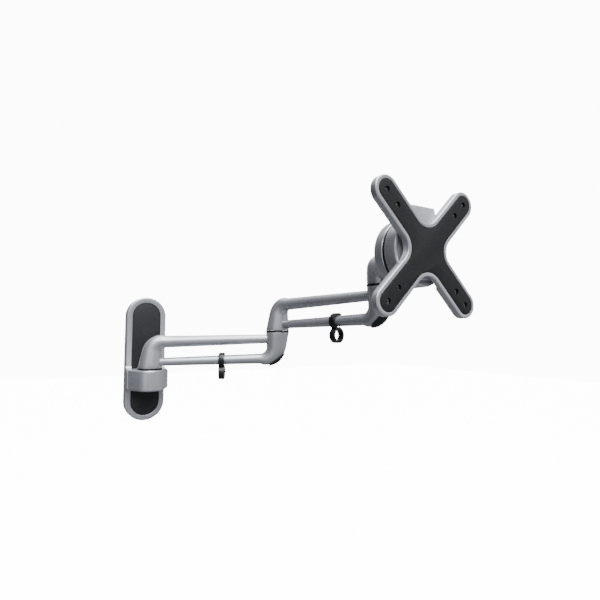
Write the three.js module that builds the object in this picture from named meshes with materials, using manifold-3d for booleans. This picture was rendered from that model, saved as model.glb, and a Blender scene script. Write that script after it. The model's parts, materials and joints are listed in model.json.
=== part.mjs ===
// Full motion wall mount for a flat screen: a wall bracket, two folding arms and a panning,
// tilting and turning head with a cross-shaped screen plate.
// Millimetres, +Z up, +X to the right of someone facing the wall, -Y out into the room.
// The origin is the middle of the face that lies on the wall.
import * as THREE from 'three';
import { mergeVertices } from 'three/addons/utils/BufferGeometryUtils.js';
import Module from 'manifold-3d';

const wasm = await Module();
wasm.setup();

// ---------------------------------------------------------------- driving dimensions
const GAP = 0.3; // clearance between pieces that touch or fit
const SEGMENTS = 24; // sides of the larger round pieces
const FINE_SEGMENTS = 16; // sides of bores, pins and bushes
const SMALL_SEGMENTS = 10; // sides of screws and screw holes

// wall bracket
const BRACKET_WIDTH = 51;
const BRACKET_HEIGHT = 165;
const BRACKET_DEPTH = 14.4;
const RIM_WIDTH = 7.2; // silver border round the black covers
const RIM_BEVEL = 1.6;
const BRACKET_WALL = 3.2; // thickness of the casting's skin
const COVER_DEPTH = 3; // depth of the seats for the covers
const SCREW_HOLE = 3.4; // radius of a hole for a wall screw
const END_SCREW_INSET = 24.5; // bracket's end to the nearest wall screw
const MIDDLE_SCREW_Z = 14;
const COLLAR_HEIGHT = 26.6;
const COLLAR_OVERHANG = 0.7; // the collar's ears stand out past the bracket's sides
const COLLAR_REACH = 30; // wall to the front of the collar's flat ears
const COLLAR_WALL = 2.1; // the collar is this much larger in radius than the barrels
const COLLAR_ROUND = 2.2;

// the three upright pivots
const WALL_TO_PIVOT = 40.3; // wall face to the first pivot axis
const FIRST_PIVOT_Z = -12; // height of the first friction washer
const WASHER_THICKNESS = 1.6;
const WASHER_OVERHANG = 0.3; // a washer shows as a fine dark lip round each barrel
const PIN_RADIUS = 5;
const PIN_HEAD_LEDGE = 2.2;
const PIN_HEAD = 5;
const BUSH_WALL = 2;
const BUSH_LENGTH = 12;
const SPRING_HEIGHT = 2;
const FLOOR_THICKNESS = 4; // metal between the bush and the disc springs
const THREAD_LENGTH = 20; // how far a pin screws into the member above it

// arms: both arms are the same pair of castings
const ARM_LENGTH = 165.4; // pivot to pivot
const ARM_HEIGHT = 46.8; // from the foot of one barrel to the top of the other
const BARREL_RADIUS = 15.1;
const INNER_ARM_ANGLE = -29; // from +X, seen from above
const OUTER_ARM_ANGLE = -76.5;
const TENON_WALL = 1.3; // metal left between a bush's seat and the end of the other casting's rod
const SET_SCREW_RADIUS = 2;

// Each casting is a barrel that bends over into a tapering rod. Heights are from the barrel's foot.
const UPPER_CASTING = {
  inside: BARREL_RADIUS - 0.9,
  outside: BARREL_RADIUS - 4.5,
  fillet: 5.5,
  rodLow: ARM_HEIGHT - 20.5,
  rodHigh: ARM_HEIGHT - 5.1,
  sideAtBend: 12.4,
  sideAtRod: 8.0,
  tipCentre: ARM_HEIGHT - 8.6,
  tipHalfHeight: 5.8,
  tipHalfWidth: 5.6,
};
const LOWER_CASTING = {
  inside: BARREL_RADIUS - 0.8,
  outside: BARREL_RADIUS - 3.4,
  fillet: 8.5,
  rodLow: ARM_HEIGHT - 18.9,
  rodHigh: ARM_HEIGHT - 5.7,
  sideAtBend: 12.4,
  sideAtRod: 7.2,
  tipCentre: ARM_HEIGHT - 7.8,
  tipHalfHeight: 5.2,
  tipHalfWidth: 5.4,
};
// where the cut for the corner cap meets the rod's underside, and the barrel's back
const CAP_FOOT = { s: 7.6, h: LOWER_CASTING.rodHigh + 0.1 };
const CAP_HEEL = { s: 4.9 - BARREL_RADIUS, h: LOWER_CASTING.rodLow - 0.5 };
const CAP_BULGE = 1.6;

// cable clips
const CLIP_WIDTH = 7;
const CLIP_WALL = 2.8;
const CLIP_RING_RADIUS = 9.2;
const CLIP_SPLIT = 3;
const INNER_CLIP_PLACE = 93; // along the arm from its first pivot
const OUTER_CLIP_PLACE = 103;

// head
const NECK_HEIGHT = 16.9; // foot of the neck to the tilt axis
const TILT_LIMIT = 12; // degrees each way
const BALL_RADIUS = BARREL_RADIUS - 0.1;
const TONGUE_HALF_WIDTH = 5.5;
const TONGUE_RADIUS = 8;
const TONGUE_HALF_HEIGHT = 5;
const TILT_PIN_RADIUS = 4;
const TILT_HEAD_RADIUS = 6;
const TILT_CHEEK = 8.5; // head axis to the floor of each counterbore
const TILT_PIN_END = 12.5;
const PLATE_RISE = 9.8; // tilt axis to the plate's centre
const DISC_RADIUS = 34.5;
const HOUSING_BACK = 26.7; // third pivot axis to the back of the round housing
const HOUSING_DEPTH = 14;
const RING_THICKNESS = 2.4;
const ROTATOR_DEPTH = 14.7;
const ROTATOR_DISH = 1.2; // how far the rotator's face lies behind its rim
const RAIL_DEPTH = 3.1; // how far the rail stands forward of the rotator's disc
const RAIL_HALF_WIDTH = 17;
const RAIL_TOP = 42.6; // above the plate's centre
const RAIL_TAPER = 8;
const RAIL_TOP_HALF_WIDTH = 14.6;
const RAIL_BOTTOM = -28;
const BOLT_RADIUS = 5;
const BOLT_HEAD_RADIUS = 8.5;

// screen plate
const PLATE_THICKNESS = 7.5;
const PLATE_TO_ROTATOR = 0.8; // the plate's rim stands this far forward of the rotator's disc
const PLATE_REACH = 50; // centre to the outer holes, across and up
const INNER_HOLES = 37.5;
const PLATE_ARM_RADIUS = 13.5;
const PLATE_CROTCH = 14.5;
const PLATE_BORDER = 3.7; // width of the silver border round the pad
const PAD_SEAT = 2.7; // depth of the pad's seat
const PAD_THICKNESS = 2.6; // it stands just proud of the border, so the screen bears on it
const PLATE_WEB = 2.2;
const VESA_HOLE = 2.3;
const VESA_BOSS = 5;
const PLATE_SCREW_X = 12.5;
const PLATE_SCREW_Z = 19;

// ---------------------------------------------------------------- derived places
const radians = THREE.MathUtils.degToRad;
const PIN_HEAD_RADIUS = PIN_RADIUS + PIN_HEAD_LEDGE;
const BUSH_RADIUS = PIN_RADIUS + GAP + BUSH_WALL;
const TENON_STOP = BUSH_RADIUS + 2 * GAP + TENON_WALL; // pivot axis to the end of that rod
const WASHER_SPACE = WASHER_THICKNESS + 2 * GAP;
const PIVOT_PITCH = ARM_HEIGHT + WASHER_SPACE;
const COLLAR_TOP = FIRST_PIVOT_Z - WASHER_SPACE / 2;
const COLLAR_BOTTOM = COLLAR_TOP - COLLAR_HEIGHT;
const PIN_HEAD_TOP = -4 * GAP - BUSH_LENGTH - FLOOR_THICKNESS - SPRING_HEIGHT; // below a member's top
const PIN_HEAD_BOTTOM = PIN_HEAD_TOP - PIN_HEAD;
const INNER_ARM_FOOT = FIRST_PIVOT_Z + WASHER_SPACE / 2;
const OUTER_ARM_FOOT = INNER_ARM_FOOT + PIVOT_PITCH;
const NECK_FOOT = OUTER_ARM_FOOT + PIVOT_PITCH;

const END_SCREW_Z = BRACKET_HEIGHT / 2 - END_SCREW_INSET;
const SCREW_HEIGHTS = [END_SCREW_Z, MIDDLE_SCREW_Z, -END_SCREW_Z];
const COLLAR_HALF_WIDTH = BRACKET_WIDTH / 2 + COLLAR_OVERHANG;
const COLLAR_RADIUS = BARREL_RADIUS + COLLAR_WALL;
const WASHER_RADIUS = BARREL_RADIUS + WASHER_OVERHANG;
const TILT_AXIS_Z = NECK_FOOT + NECK_HEIGHT;
const PLATE_CENTRE_Z = TILT_AXIS_Z + PLATE_RISE;

// distances forward of the third pivot's axis, each built on the one before
const HOUSING_FRONT = HOUSING_BACK + HOUSING_DEPTH;
const ROTATOR_BACK = HOUSING_FRONT + 2 * GAP + RING_THICKNESS;
const ROTATOR_FLOOR = ROTATOR_BACK + 6; // the disc springs bear on this face
const ROTATOR_FRONT = ROTATOR_BACK + ROTATOR_DEPTH;
const RAIL_FRONT = ROTATOR_FRONT + RAIL_DEPTH;
const PLATE_FRONT = ROTATOR_FRONT + PLATE_TO_ROTATOR + PLATE_THICKNESS;

function polar(origin, length, angle) {
  return new THREE.Vector2(
    origin.x + length * Math.cos(radians(angle)),
    origin.y + length * Math.sin(radians(angle)),
  );
}
const WALL_PIVOT = new THREE.Vector2(0, -WALL_TO_PIVOT);
const ELBOW_PIVOT = polar(WALL_PIVOT, ARM_LENGTH, INNER_ARM_ANGLE);
const HEAD_PIVOT = polar(ELBOW_PIVOT, ARM_LENGTH, OUTER_ARM_ANGLE);

// ---------------------------------------------------------------- solid tools
function toSolid(geometry) {
  const bare = new THREE.BufferGeometry();
  bare.setAttribute('position', geometry.attributes.position.clone());
  if (geometry.index) bare.setIndex(geometry.index.clone());
  const merged = mergeVertices(bare, 1e-4);
  const corners = merged.index.array;
  const kept = [];
  for (let i = 0; i < corners.length; i += 3) {
    const [a, b, c] = [corners[i], corners[i + 1], corners[i + 2]];
    if (a !== b && b !== c && c !== a) kept.push(a, b, c);
  }
  const vertProperties = Float32Array.from(merged.attributes.position.array);
  const triVerts = Uint32Array.from(kept);
  return new wasm.Manifold(new wasm.Mesh({ numProp: 3, vertProperties, triVerts }));
}

function toGeometry(solid) {
  const mesh = solid.getMesh();
  const geometry = new THREE.BufferGeometry();
  const position = new THREE.BufferAttribute(Float32Array.from(mesh.vertProperties), 3);
  geometry.setAttribute('position', position);
  geometry.setIndex(Array.from(mesh.triVerts));
  geometry.computeVertexNormals();
  return geometry;
}

function join(...pieces) {
  return toGeometry(pieces.map(toSolid).reduce((sum, piece) => sum.add(piece)));
}

function cut(base, ...tools) {
  return toGeometry(tools.map(toSolid).reduce((rest, tool) => rest.subtract(tool), toSolid(base)));
}

function common(first, second) {
  return toGeometry(toSolid(first).intersect(toSolid(second)));
}

function box(x0, x1, y0, y1, z0, z1) {
  const geometry = new THREE.BoxGeometry(x1 - x0, y1 - y0, z1 - z0);
  return geometry.translate((x0 + x1) / 2, (y0 + y1) / 2, (z0 + z1) / 2);
}

// round bars along the three axes
function uprightBar(radius, z0, z1, x = 0, y = 0, sides = FINE_SEGMENTS) {
  const geometry = new THREE.CylinderGeometry(radius, radius, z1 - z0, sides);
  return geometry.rotateX(Math.PI / 2).translate(x, y, (z0 + z1) / 2);
}

function acrossBar(radius, x0, x1, y, z, sides = FINE_SEGMENTS) {
  const geometry = new THREE.CylinderGeometry(radius, radius, x1 - x0, sides);
  return geometry.rotateZ(Math.PI / 2).translate((x0 + x1) / 2, y, z);
}

function forwardBar(radius, f0, f1, x, z, sides = FINE_SEGMENTS) {
  const geometry = new THREE.CylinderGeometry(radius, radius, f1 - f0, sides);
  return geometry.translate(x, -(f0 + f1) / 2, z);
}

// a body turned about an upright axis, from [radius, height] points
function turnedUpright(points, sides = SEGMENTS) {
  const profile = points.map(([r, z]) => new THREE.Vector2(r, z));
  return new THREE.LatheGeometry(profile, sides).rotateX(Math.PI / 2);
}

// a body turned about an axis that points into the room, from [radius, forward] points
function turnedForward(points, z, sides = SEGMENTS) {
  const profile = points.map(([r, f]) => new THREE.Vector2(r, f));
  return new THREE.LatheGeometry(profile, sides).rotateX(Math.PI).translate(0, 0, z);
}

// an outline drawn in X and Z, given its thickness from f0 to f1 forward of the wall
function slab(shape, f0, f1, bevel = 0, curveSegments = 6) {
  const geometry = new THREE.ExtrudeGeometry(shape, {
    depth: f1 - f0 - 2 * bevel,
    bevelEnabled: bevel > 0,
    bevelThickness: bevel,
    bevelSize: bevel,
    bevelOffset: -bevel,
    bevelSegments: 1,
    curveSegments,
  });
  return geometry.rotateX(Math.PI / 2).translate(0, -f0 - bevel, 0);
}

function ring(outer, inner, height) {
  return [[inner, 0], [outer, 0], [outer, height], [inner, height], [inner, 0]];
}

// ---------------------------------------------------------------- outlines
function stadium(width, bottom, top) {
  const r = width / 2;
  const shape = new THREE.Shape();
  shape.absarc(0, top - r, r, 0, Math.PI, false);
  shape.absarc(0, bottom + r, r, Math.PI, 2 * Math.PI, false);
  shape.closePath();
  return shape;
}

// round at one end and square at the other; up is 1 or -1 for the round end
function coverOutline(width, squareEnd, roundEnd) {
  const r = width / 2;
  const up = Math.sign(roundEnd - squareEnd);
  const shape = new THREE.Shape();
  shape.moveTo(-r, squareEnd);
  shape.lineTo(r, squareEnd);
  shape.absarc(0, roundEnd - up * r, r, 0, up * Math.PI, up < 0);
  shape.closePath();
  return shape;
}

function roundedRectangle(halfWidth, bottom, top, radius) {
  const shape = new THREE.Shape();
  shape.absarc(halfWidth - radius, top - radius, radius, 0, Math.PI / 2, false);
  shape.absarc(-halfWidth + radius, top - radius, radius, Math.PI / 2, Math.PI, false);
  shape.absarc(-halfWidth + radius, bottom + radius, radius, Math.PI, 1.5 * Math.PI, false);
  shape.absarc(halfWidth - radius, bottom + radius, radius, 1.5 * Math.PI, 2 * Math.PI, false);
  shape.closePath();
  return shape;
}

// four equal arms on the diagonals with round ends, and round crotches between them
function crossOutline(reach, halfWidth, crotch) {
  const shape = new THREE.Shape();
  for (let arm = 0; arm < 4; arm += 1) {
    const angle = Math.PI / 4 + arm * Math.PI / 2;
    const out = reach * Math.SQRT2;
    const end = [out * Math.cos(angle), out * Math.sin(angle)];
    shape.absarc(end[0], end[1], halfWidth, angle - Math.PI / 2, angle + Math.PI / 2, false);
    const between = angle + Math.PI / 4;
    const away = (halfWidth + crotch) * Math.SQRT2;
    const centre = [away * Math.cos(between), away * Math.sin(between)];
    shape.absarc(centre[0], centre[1], crotch, angle + 1.5 * Math.PI, angle + Math.PI, true);
  }
  return shape;
}

// ---------------------------------------------------------------- wall bracket
function wallBracket() {
  const halfHeight = BRACKET_HEIGHT / 2;
  const seatWidth = BRACKET_WIDTH - 2 * RIM_WIDTH;
  const seatTop = halfHeight - RIM_WIDTH;
  const plate = slab(stadium(BRACKET_WIDTH, -halfHeight, halfHeight), 0, BRACKET_DEPTH, RIM_BEVEL);
  const ears = roundedRectangle(COLLAR_HALF_WIDTH, COLLAR_BOTTOM, COLLAR_TOP, 3.5);
  const band = slab(ears, BRACKET_DEPTH - 5, COLLAR_REACH, 1, 3);

  const inset = COLLAR_ROUND;
  const nose = new THREE.Shape();
  // the collar's flanks run straight from the ears' corners and touch its round nose
  const corner = new THREE.Vector2(COLLAR_HALF_WIDTH - 1, WALL_TO_PIVOT - COLLAR_REACH);
  const touch = Math.acos(COLLAR_RADIUS / corner.length()) - corner.angle();
  nose.moveTo(-corner.x, -BRACKET_DEPTH - 3);
  nose.lineTo(-corner.x, -COLLAR_REACH);
  nose.absarc(0, -WALL_TO_PIVOT, COLLAR_RADIUS, Math.PI + touch, 2 * Math.PI - touch, false);
  nose.lineTo(corner.x, -COLLAR_REACH);
  nose.lineTo(corner.x, -BRACKET_DEPTH - 3);
  nose.closePath();
  const barrel = new THREE.ExtrudeGeometry(nose, {
    depth: COLLAR_HEIGHT - 2 * inset,
    bevelThickness: inset,
    bevelSize: inset,
    bevelOffset: -inset,
    bevelSegments: 2,
    curveSegments: 16,
  }).translate(0, 0, COLLAR_BOTTOM + inset);

  const seatFloor = BRACKET_DEPTH - COVER_DEPTH;
  const over = 1;
  const upperSeat = slab(coverOutline(seatWidth, COLLAR_TOP, seatTop), seatFloor, BRACKET_DEPTH + over);
  const lowerSeat = slab(coverOutline(seatWidth, COLLAR_BOTTOM, -seatTop), seatFloor, BRACKET_DEPTH + over);

  const skin = BRACKET_WALL;
  const pocketDepth = seatFloor - skin;
  const pocketWidth = BRACKET_WIDTH - 2 * skin;
  const pocketEnd = halfHeight - skin;
  const pad = 6; // solid band round the origin, where the bracket is measured from
  let upperPocket = slab(coverOutline(pocketWidth, pad, pocketEnd), -over, pocketDepth);
  let lowerPocket = slab(coverOutline(pocketWidth, COLLAR_BOTTOM, -pocketEnd), -over, pocketDepth);
  const bossRadius = SCREW_HOLE + 4;
  for (const z of SCREW_HEIGHTS) {
    const boss = forwardBar(bossRadius, -2 * over, pocketDepth + over, 0, z);
    if (z > 0) upperPocket = cut(upperPocket, boss);
    else lowerPocket = cut(lowerPocket, boss);
  }

  const lip = PIN_RADIUS + GAP + 0.4;
  const bushBottom = COLLAR_TOP - GAP - BUSH_LENGTH - GAP;
  const floorBottom = bushBottom - FLOOR_THICKNESS;
  const holes = SCREW_HEIGHTS.map((z) => forwardBar(SCREW_HOLE, -over, BRACKET_DEPTH + over, 0, z));
  return cut(
    join(plate, band, barrel),
    upperSeat, lowerSeat, upperPocket, lowerPocket, ...holes,
    uprightBar(BUSH_RADIUS + GAP, bushBottom, COLLAR_TOP + over, 0, -WALL_TO_PIVOT),
    uprightBar(lip, floorBottom - over, bushBottom + over, 0, -WALL_TO_PIVOT),
    uprightBar(PIN_HEAD_RADIUS + 1, COLLAR_BOTTOM - over, floorBottom, 0, -WALL_TO_PIVOT),
  );
}

function wallCover(squareEnd, roundEnd) {
  const up = Math.sign(roundEnd - squareEnd);
  const width = BRACKET_WIDTH - 2 * RIM_WIDTH - 2 * GAP;
  const outline = coverOutline(width, squareEnd + up * GAP, roundEnd - up * GAP);
  return slab(outline, BRACKET_DEPTH - COVER_DEPTH + GAP, BRACKET_DEPTH - 0.5, 0.4);
}

// plug that closes the pin's hole under the collar
function collarPlug() {
  const top = COLLAR_TOP + PIN_HEAD_BOTTOM - GAP;
  return uprightBar(PIN_HEAD_RADIUS + 1 - GAP, COLLAR_BOTTOM + GAP, top, 0, -WALL_TO_PIVOT);
}

// ---------------------------------------------------------------- upright pivots
// All four pieces are drawn about the pivot's axis, with z = 0 at the lower member's top face.
function frictionWasher() {
  return turnedUpright(ring(WASHER_RADIUS, PIN_RADIUS + GAP, WASHER_THICKNESS)).translate(0, 0, GAP);
}

function pivotBush() {
  const inner = PIN_RADIUS + GAP;
  return turnedUpright(ring(inner + BUSH_WALL, inner, BUSH_LENGTH), FINE_SEGMENTS)
    .translate(0, 0, -GAP - BUSH_LENGTH);
}

function springStack() {
  const top = -2 * GAP - BUSH_LENGTH - FLOOR_THICKNESS;
  const inner = PIN_RADIUS + GAP;
  const dished = [[inner, -1.2], [PIN_HEAD_RADIUS, -SPRING_HEIGHT], [PIN_HEAD_RADIUS, -1], [inner, 0]];
  return turnedUpright([...dished, dished[0]], FINE_SEGMENTS).translate(0, 0, top - GAP);
}

function pivotPin(thread) {
  const profile = [
    [0, PIN_HEAD_BOTTOM], [PIN_HEAD_RADIUS, PIN_HEAD_BOTTOM], [PIN_HEAD_RADIUS, PIN_HEAD_TOP],
    [PIN_RADIUS, PIN_HEAD_TOP], [PIN_RADIUS, WASHER_SPACE + thread - 1],
    [PIN_RADIUS - 1, WASHER_SPACE + thread], [0, WASHER_SPACE + thread],
  ];
  const socket = new THREE.CylinderGeometry(3, 3, 3, 6).rotateX(Math.PI / 2);
  return cut(turnedUpright(profile, FINE_SEGMENTS), socket.translate(0, 0, PIN_HEAD_BOTTOM + 1));
}

// ---------------------------------------------------------------- arm castings
// s runs along the arm from the casting's own pivot, t across it and h up from its barrel's foot.
// A many-ringed cylinder is laid along the bend: each ring gets its own centre and half sizes.
function bentBar(rings, sides = 16) {
  const bar = new THREE.CylinderGeometry(1, 1, 1, sides, rings.length - 1);
  const place = bar.attributes.position;
  for (let i = 0; i < place.count; i += 1) {
    const { s, h, turn, half, side } = rings[Math.round((0.5 - place.getY(i)) * (rings.length - 1))];
    const inward = place.getX(i) * half;
    place.setXYZ(
      i,
      s + inward * Math.cos(turn),
      place.getZ(i) * side,
      h - inward * Math.sin(turn),
    );
  }
  return bar;
}

function castingRings(spec, bulge = 0) {
  const bendS = spec.inside + spec.fillet;
  const bendH = spec.rodLow - spec.fillet;
  const outerFoot = bendS + spec.outside;
  const outerTop = spec.rodHigh - bendH;
  const rings = [{ s: 0, h: 0, turn: 0, half: BARREL_RADIUS, side: BARREL_RADIUS }];
  const steps = 6;
  for (let i = 0; i <= steps; i += 1) {
    const share = i / steps;
    const turn = share * Math.PI / 2;
    const outer = THREE.MathUtils.lerp(outerFoot, outerTop, share) + bulge * Math.sin(2 * turn);
    const middle = (spec.fillet + outer) / 2;
    rings.push({
      s: bendS - middle * Math.cos(turn),
      h: bendH + middle * Math.sin(turn),
      turn,
      half: (outer - spec.fillet) / 2,
      side: THREE.MathUtils.lerp(spec.sideAtBend, spec.sideAtRod, share),
    });
  }
  rings.push(rodTip(spec));
  return rings;
}

function rodTip(spec, grow = 0) {
  return {
    s: ARM_LENGTH - TENON_STOP + grow,
    h: spec.tipCentre,
    turn: Math.PI / 2,
    half: spec.tipHalfHeight + grow,
    side: spec.tipHalfWidth + grow,
  };
}

// the last stretch of a rod, grown by the clearance, as the socket that the other barrel needs
function tipSocket(spec) {
  const tip = rodTip(spec, GAP);
  const root = castingRings(spec).at(-2);
  const share = 0.7;
  const start = {
    s: THREE.MathUtils.lerp(root.s, tip.s, share),
    h: THREE.MathUtils.lerp(root.h, tip.h, share),
    turn: Math.PI / 2,
    half: THREE.MathUtils.lerp(root.half, tip.half, share) + GAP,
    side: THREE.MathUtils.lerp(root.side, tip.side, share) + GAP,
  };
  return turnOver(bentBar([start, tip]));
}

// turns a casting end over end, so that its barrel stands at the arm's other pivot
function turnOver(geometry) {
  return geometry.rotateY(Math.PI).translate(ARM_LENGTH, 0, ARM_HEIGHT);
}

// everything beyond the sloping cut at the barrel's lower corner, moved outwards by offset
function beyondCap(offset) {
  const along = new THREE.Vector2(CAP_FOOT.s - CAP_HEEL.s, CAP_FOOT.h - CAP_HEEL.h);
  const slope = along.angle();
  const size = 60;
  const block = new THREE.BoxGeometry(size, size, size).translate(0, 0, size / 2 + offset);
  return block.rotateY(-slope).translate(CAP_HEEL.s, 0, CAP_HEEL.h);
}

function upperCasting(setScrewPlace) {
  const bore = uprightBar(PIN_RADIUS + GAP, -1, THREAD_LENGTH + 1);
  return cut(bentBar(castingRings(UPPER_CASTING)), bore, tipSocket(LOWER_CASTING), setScrewPlace);
}

function lowerCasting(setScrewPlace) {
  const bushEnd = 2 * GAP + BUSH_LENGTH;
  const body = cut(
    bentBar(castingRings(LOWER_CASTING)),
    beyondCap(0),
    uprightBar(BUSH_RADIUS + GAP, -1, bushEnd),
    uprightBar(PIN_RADIUS + GAP + 0.4, bushEnd - 1, bushEnd + FLOOR_THICKNESS + 1),
    uprightBar(PIN_HEAD_RADIUS + GAP, bushEnd + FLOOR_THICKNESS, ARM_HEIGHT),
    tipSocket(UPPER_CASTING),
    setScrewPlace,
  );
  return turnOver(body);
}

function cornerCap() {
  const shell = bentBar(castingRings(LOWER_CASTING, CAP_BULGE));
  return turnOver(common(shell, beyondCap(GAP)));
}

// a set screw stands in the side of each barrel, turned away from the room, and bears on the rod's end
function setScrewHole(spec) {
  const s = TENON_STOP + 2.6;
  const h = ARM_HEIGHT - spec.tipCentre;
  return forwardBar(SET_SCREW_RADIUS + GAP, -BARREL_RADIUS - 1, 0, s, h, SMALL_SEGMENTS);
}

function setScrew(spec) {
  const s = TENON_STOP + 2.6;
  const h = ARM_HEIGHT - spec.tipCentre;
  const depth = Math.sqrt(BARREL_RADIUS ** 2 - s ** 2) - 1.2;
  return forwardBar(SET_SCREW_RADIUS, -depth, -spec.tipHalfWidth - 2 * GAP, s, h, SMALL_SEGMENTS);
}

// ---------------------------------------------------------------- cable clips
// A C that snaps over the lower rod, with a split ring under it for the cables.
function cableClip(place) {
  const spec = LOWER_CASTING;
  const root = castingRings(spec).at(-2);
  const share = (ARM_LENGTH - place - root.s) / (rodTip(spec).s - root.s);
  const rodHeight = ARM_HEIGHT - THREE.MathUtils.lerp(root.h, spec.tipCentre, share);
  const halfHeight = THREE.MathUtils.lerp(root.half, spec.tipHalfHeight, share) + 2 * GAP;
  const halfSide = THREE.MathUtils.lerp(root.side, spec.tipHalfWidth, share) + 2 * GAP;
  const hook = new THREE.Shape();
  const start = radians(-110);
  const end = radians(120);
  hook.absellipse(0, 0, halfSide + CLIP_WALL, halfHeight + CLIP_WALL, start, end, false, 0);
  hook.absellipse(0, 0, halfSide, halfHeight, end, start, true, 0);
  hook.closePath();
  const ringCentre = -halfHeight - CLIP_RING_RADIUS - 0.2;
  const split = Math.asin(CLIP_SPLIT / 2 / CLIP_RING_RADIUS);
  const loop = new THREE.Shape();
  const from = -Math.PI / 2 + split;
  const to = 1.5 * Math.PI - split;
  loop.absarc(0, ringCentre, CLIP_RING_RADIUS, from, to, false);
  loop.absarc(0, ringCentre, CLIP_RING_RADIUS - CLIP_WALL, to, from, true);
  loop.closePath();
  const options = { depth: CLIP_WIDTH, bevelEnabled: false, curveSegments: 12 };
  const solid = join(new THREE.ExtrudeGeometry(hook, options), new THREE.ExtrudeGeometry(loop, options));
  // drawn in X and Y: X becomes across the arm on its room side, Y becomes up
  return solid.rotateX(Math.PI / 2).rotateZ(-Math.PI / 2)
    .translate(place + CLIP_WIDTH / 2, 0, rodHeight);
}

// ---------------------------------------------------------------- head
// f is the distance forward of the third pivot's axis, into the room.
function headNeck() {
  const top = NECK_FOOT;
  const profile = [[0, top], [BARREL_RADIUS, top]];
  const steps = 6;
  for (let i = 0; i <= steps; i += 1) {
    const angle = (i / steps) * Math.PI / 2;
    profile.push([BALL_RADIUS * Math.cos(angle), TILT_AXIS_Z + BALL_RADIUS * Math.sin(angle)]);
  }
  profile[profile.length - 1][0] = 0;
  const slot = TONGUE_HALF_WIDTH + GAP;
  const reach = BALL_RADIUS + 1;
  const swing = TONGUE_HALF_HEIGHT + reach * Math.sin(radians(TILT_LIMIT)) + GAP;
  const counterbore = TILT_HEAD_RADIUS + GAP;
  return cut(
    turnedUpright(profile),
    uprightBar(PIN_RADIUS + GAP, top - 1, TILT_AXIS_Z - TONGUE_RADIUS - 1),
    acrossBar(TONGUE_RADIUS + GAP + 0.2, -slot, slot, 0, TILT_AXIS_Z),
    box(-slot, slot, -reach, 0, TILT_AXIS_Z - swing, TILT_AXIS_Z + swing),
    acrossBar(TILT_PIN_RADIUS + GAP, -BALL_RADIUS, BALL_RADIUS, 0, TILT_AXIS_Z),
    acrossBar(counterbore, -BALL_RADIUS - 1, -TILT_CHEEK, 0, TILT_AXIS_Z),
    acrossBar(counterbore, TILT_CHEEK, BALL_RADIUS + 1, 0, TILT_AXIS_Z),
  );
}

function tiltPin() {
  return join(
    acrossBar(TILT_PIN_RADIUS, -TILT_PIN_END, TILT_PIN_END, 0, TILT_AXIS_Z),
    acrossBar(TILT_HEAD_RADIUS - 0.4, -TILT_PIN_END, -TILT_CHEEK - GAP, 0, TILT_AXIS_Z),
  );
}

function tiltRing(outer, x0, x1, sides) {
  const inner = TILT_PIN_RADIUS + GAP;
  return cut(
    acrossBar(outer, x0, x1, 0, TILT_AXIS_Z, sides),
    acrossBar(inner, x0 - 1, x1 + 1, 0, TILT_AXIS_Z),
  );
}

function tiltCap(sign) {
  const ball = new THREE.SphereGeometry(BALL_RADIUS, SEGMENTS, 12).translate(0, 0, TILT_AXIS_Z);
  const [near, far] = [TILT_PIN_END + GAP, BALL_RADIUS + 1];
  const bar = acrossBar(TILT_HEAD_RADIUS, Math.min(sign * near, sign * far),
    Math.max(sign * near, sign * far), 0, TILT_AXIS_Z);
  return common(ball, bar);
}

// the round housing: a cup that carries the friction ring, with a saddle and a tongue behind it
function headHousing() {
  const back = HOUSING_BACK;
  const front = HOUSING_FRONT;
  const wall = 3.5;
  const boss = BOLT_RADIUS + GAP + 4;
  const thread = BOLT_RADIUS + GAP;
  const disc = turnedForward([
    [0, back - 2.5], [14, back - 2.5], [25, back - 0.5], [32.5, back + 1], [DISC_RADIUS, back + 3],
    [DISC_RADIUS, front - 0.6], [DISC_RADIUS - 0.6, front], [DISC_RADIUS - wall, front],
    [DISC_RADIUS - wall, back + 8], [24, back + 5], [boss, back + 5], [boss, front],
    [thread, front], [thread, back + 3], [0, back + 3],
  ], PLATE_CENTRE_Z);
  const saddle = turnedForward([
    [0, 5], [BALL_RADIUS + 1.4, 5], [BALL_RADIUS + 3, 14], [BALL_RADIUS + 6, back + 1], [0, back + 1],
  ], TILT_AXIS_Z);
  const clearance = [new THREE.SphereGeometry(BALL_RADIUS + GAP + 0.2, SEGMENTS, 12)
    .translate(0, 0, TILT_AXIS_Z)];
  const barrelClear = BARREL_RADIUS + GAP + 0.2;
  for (let step = -2; step <= 2; step += 1) {
    const drop = uprightBar(barrelClear, -2 * BARREL_RADIUS, 0, 0, 0, SEGMENTS);
    clearance.push(drop.rotateX(radians(step * (TILT_LIMIT + 1) / 2)).translate(0, 0, TILT_AXIS_Z));
  }
  const tongue = join(
    acrossBar(TONGUE_RADIUS, -TONGUE_HALF_WIDTH, TONGUE_HALF_WIDTH, 0, TILT_AXIS_Z),
    box(-TONGUE_HALF_WIDTH, TONGUE_HALF_WIDTH, -back - 1, 0,
      TILT_AXIS_Z - TONGUE_HALF_HEIGHT, TILT_AXIS_Z + TONGUE_HALF_HEIGHT),
  );
  const hole = acrossBar(TILT_PIN_RADIUS + GAP, -TONGUE_HALF_WIDTH - 1, TONGUE_HALF_WIDTH + 1,
    0, TILT_AXIS_Z);
  const shell = cut(join(disc, saddle), ...clearance);
  return cut(join(shell, tongue), hole);
}

function frictionRing() {
  const f = HOUSING_FRONT + GAP;
  const inner = BOLT_RADIUS + GAP + 8;
  return turnedForward(ring(DISC_RADIUS - 0.4, inner, RING_THICKNESS).map(([r, h]) => [r, f + h]),
    PLATE_CENTRE_Z);
}

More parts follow.
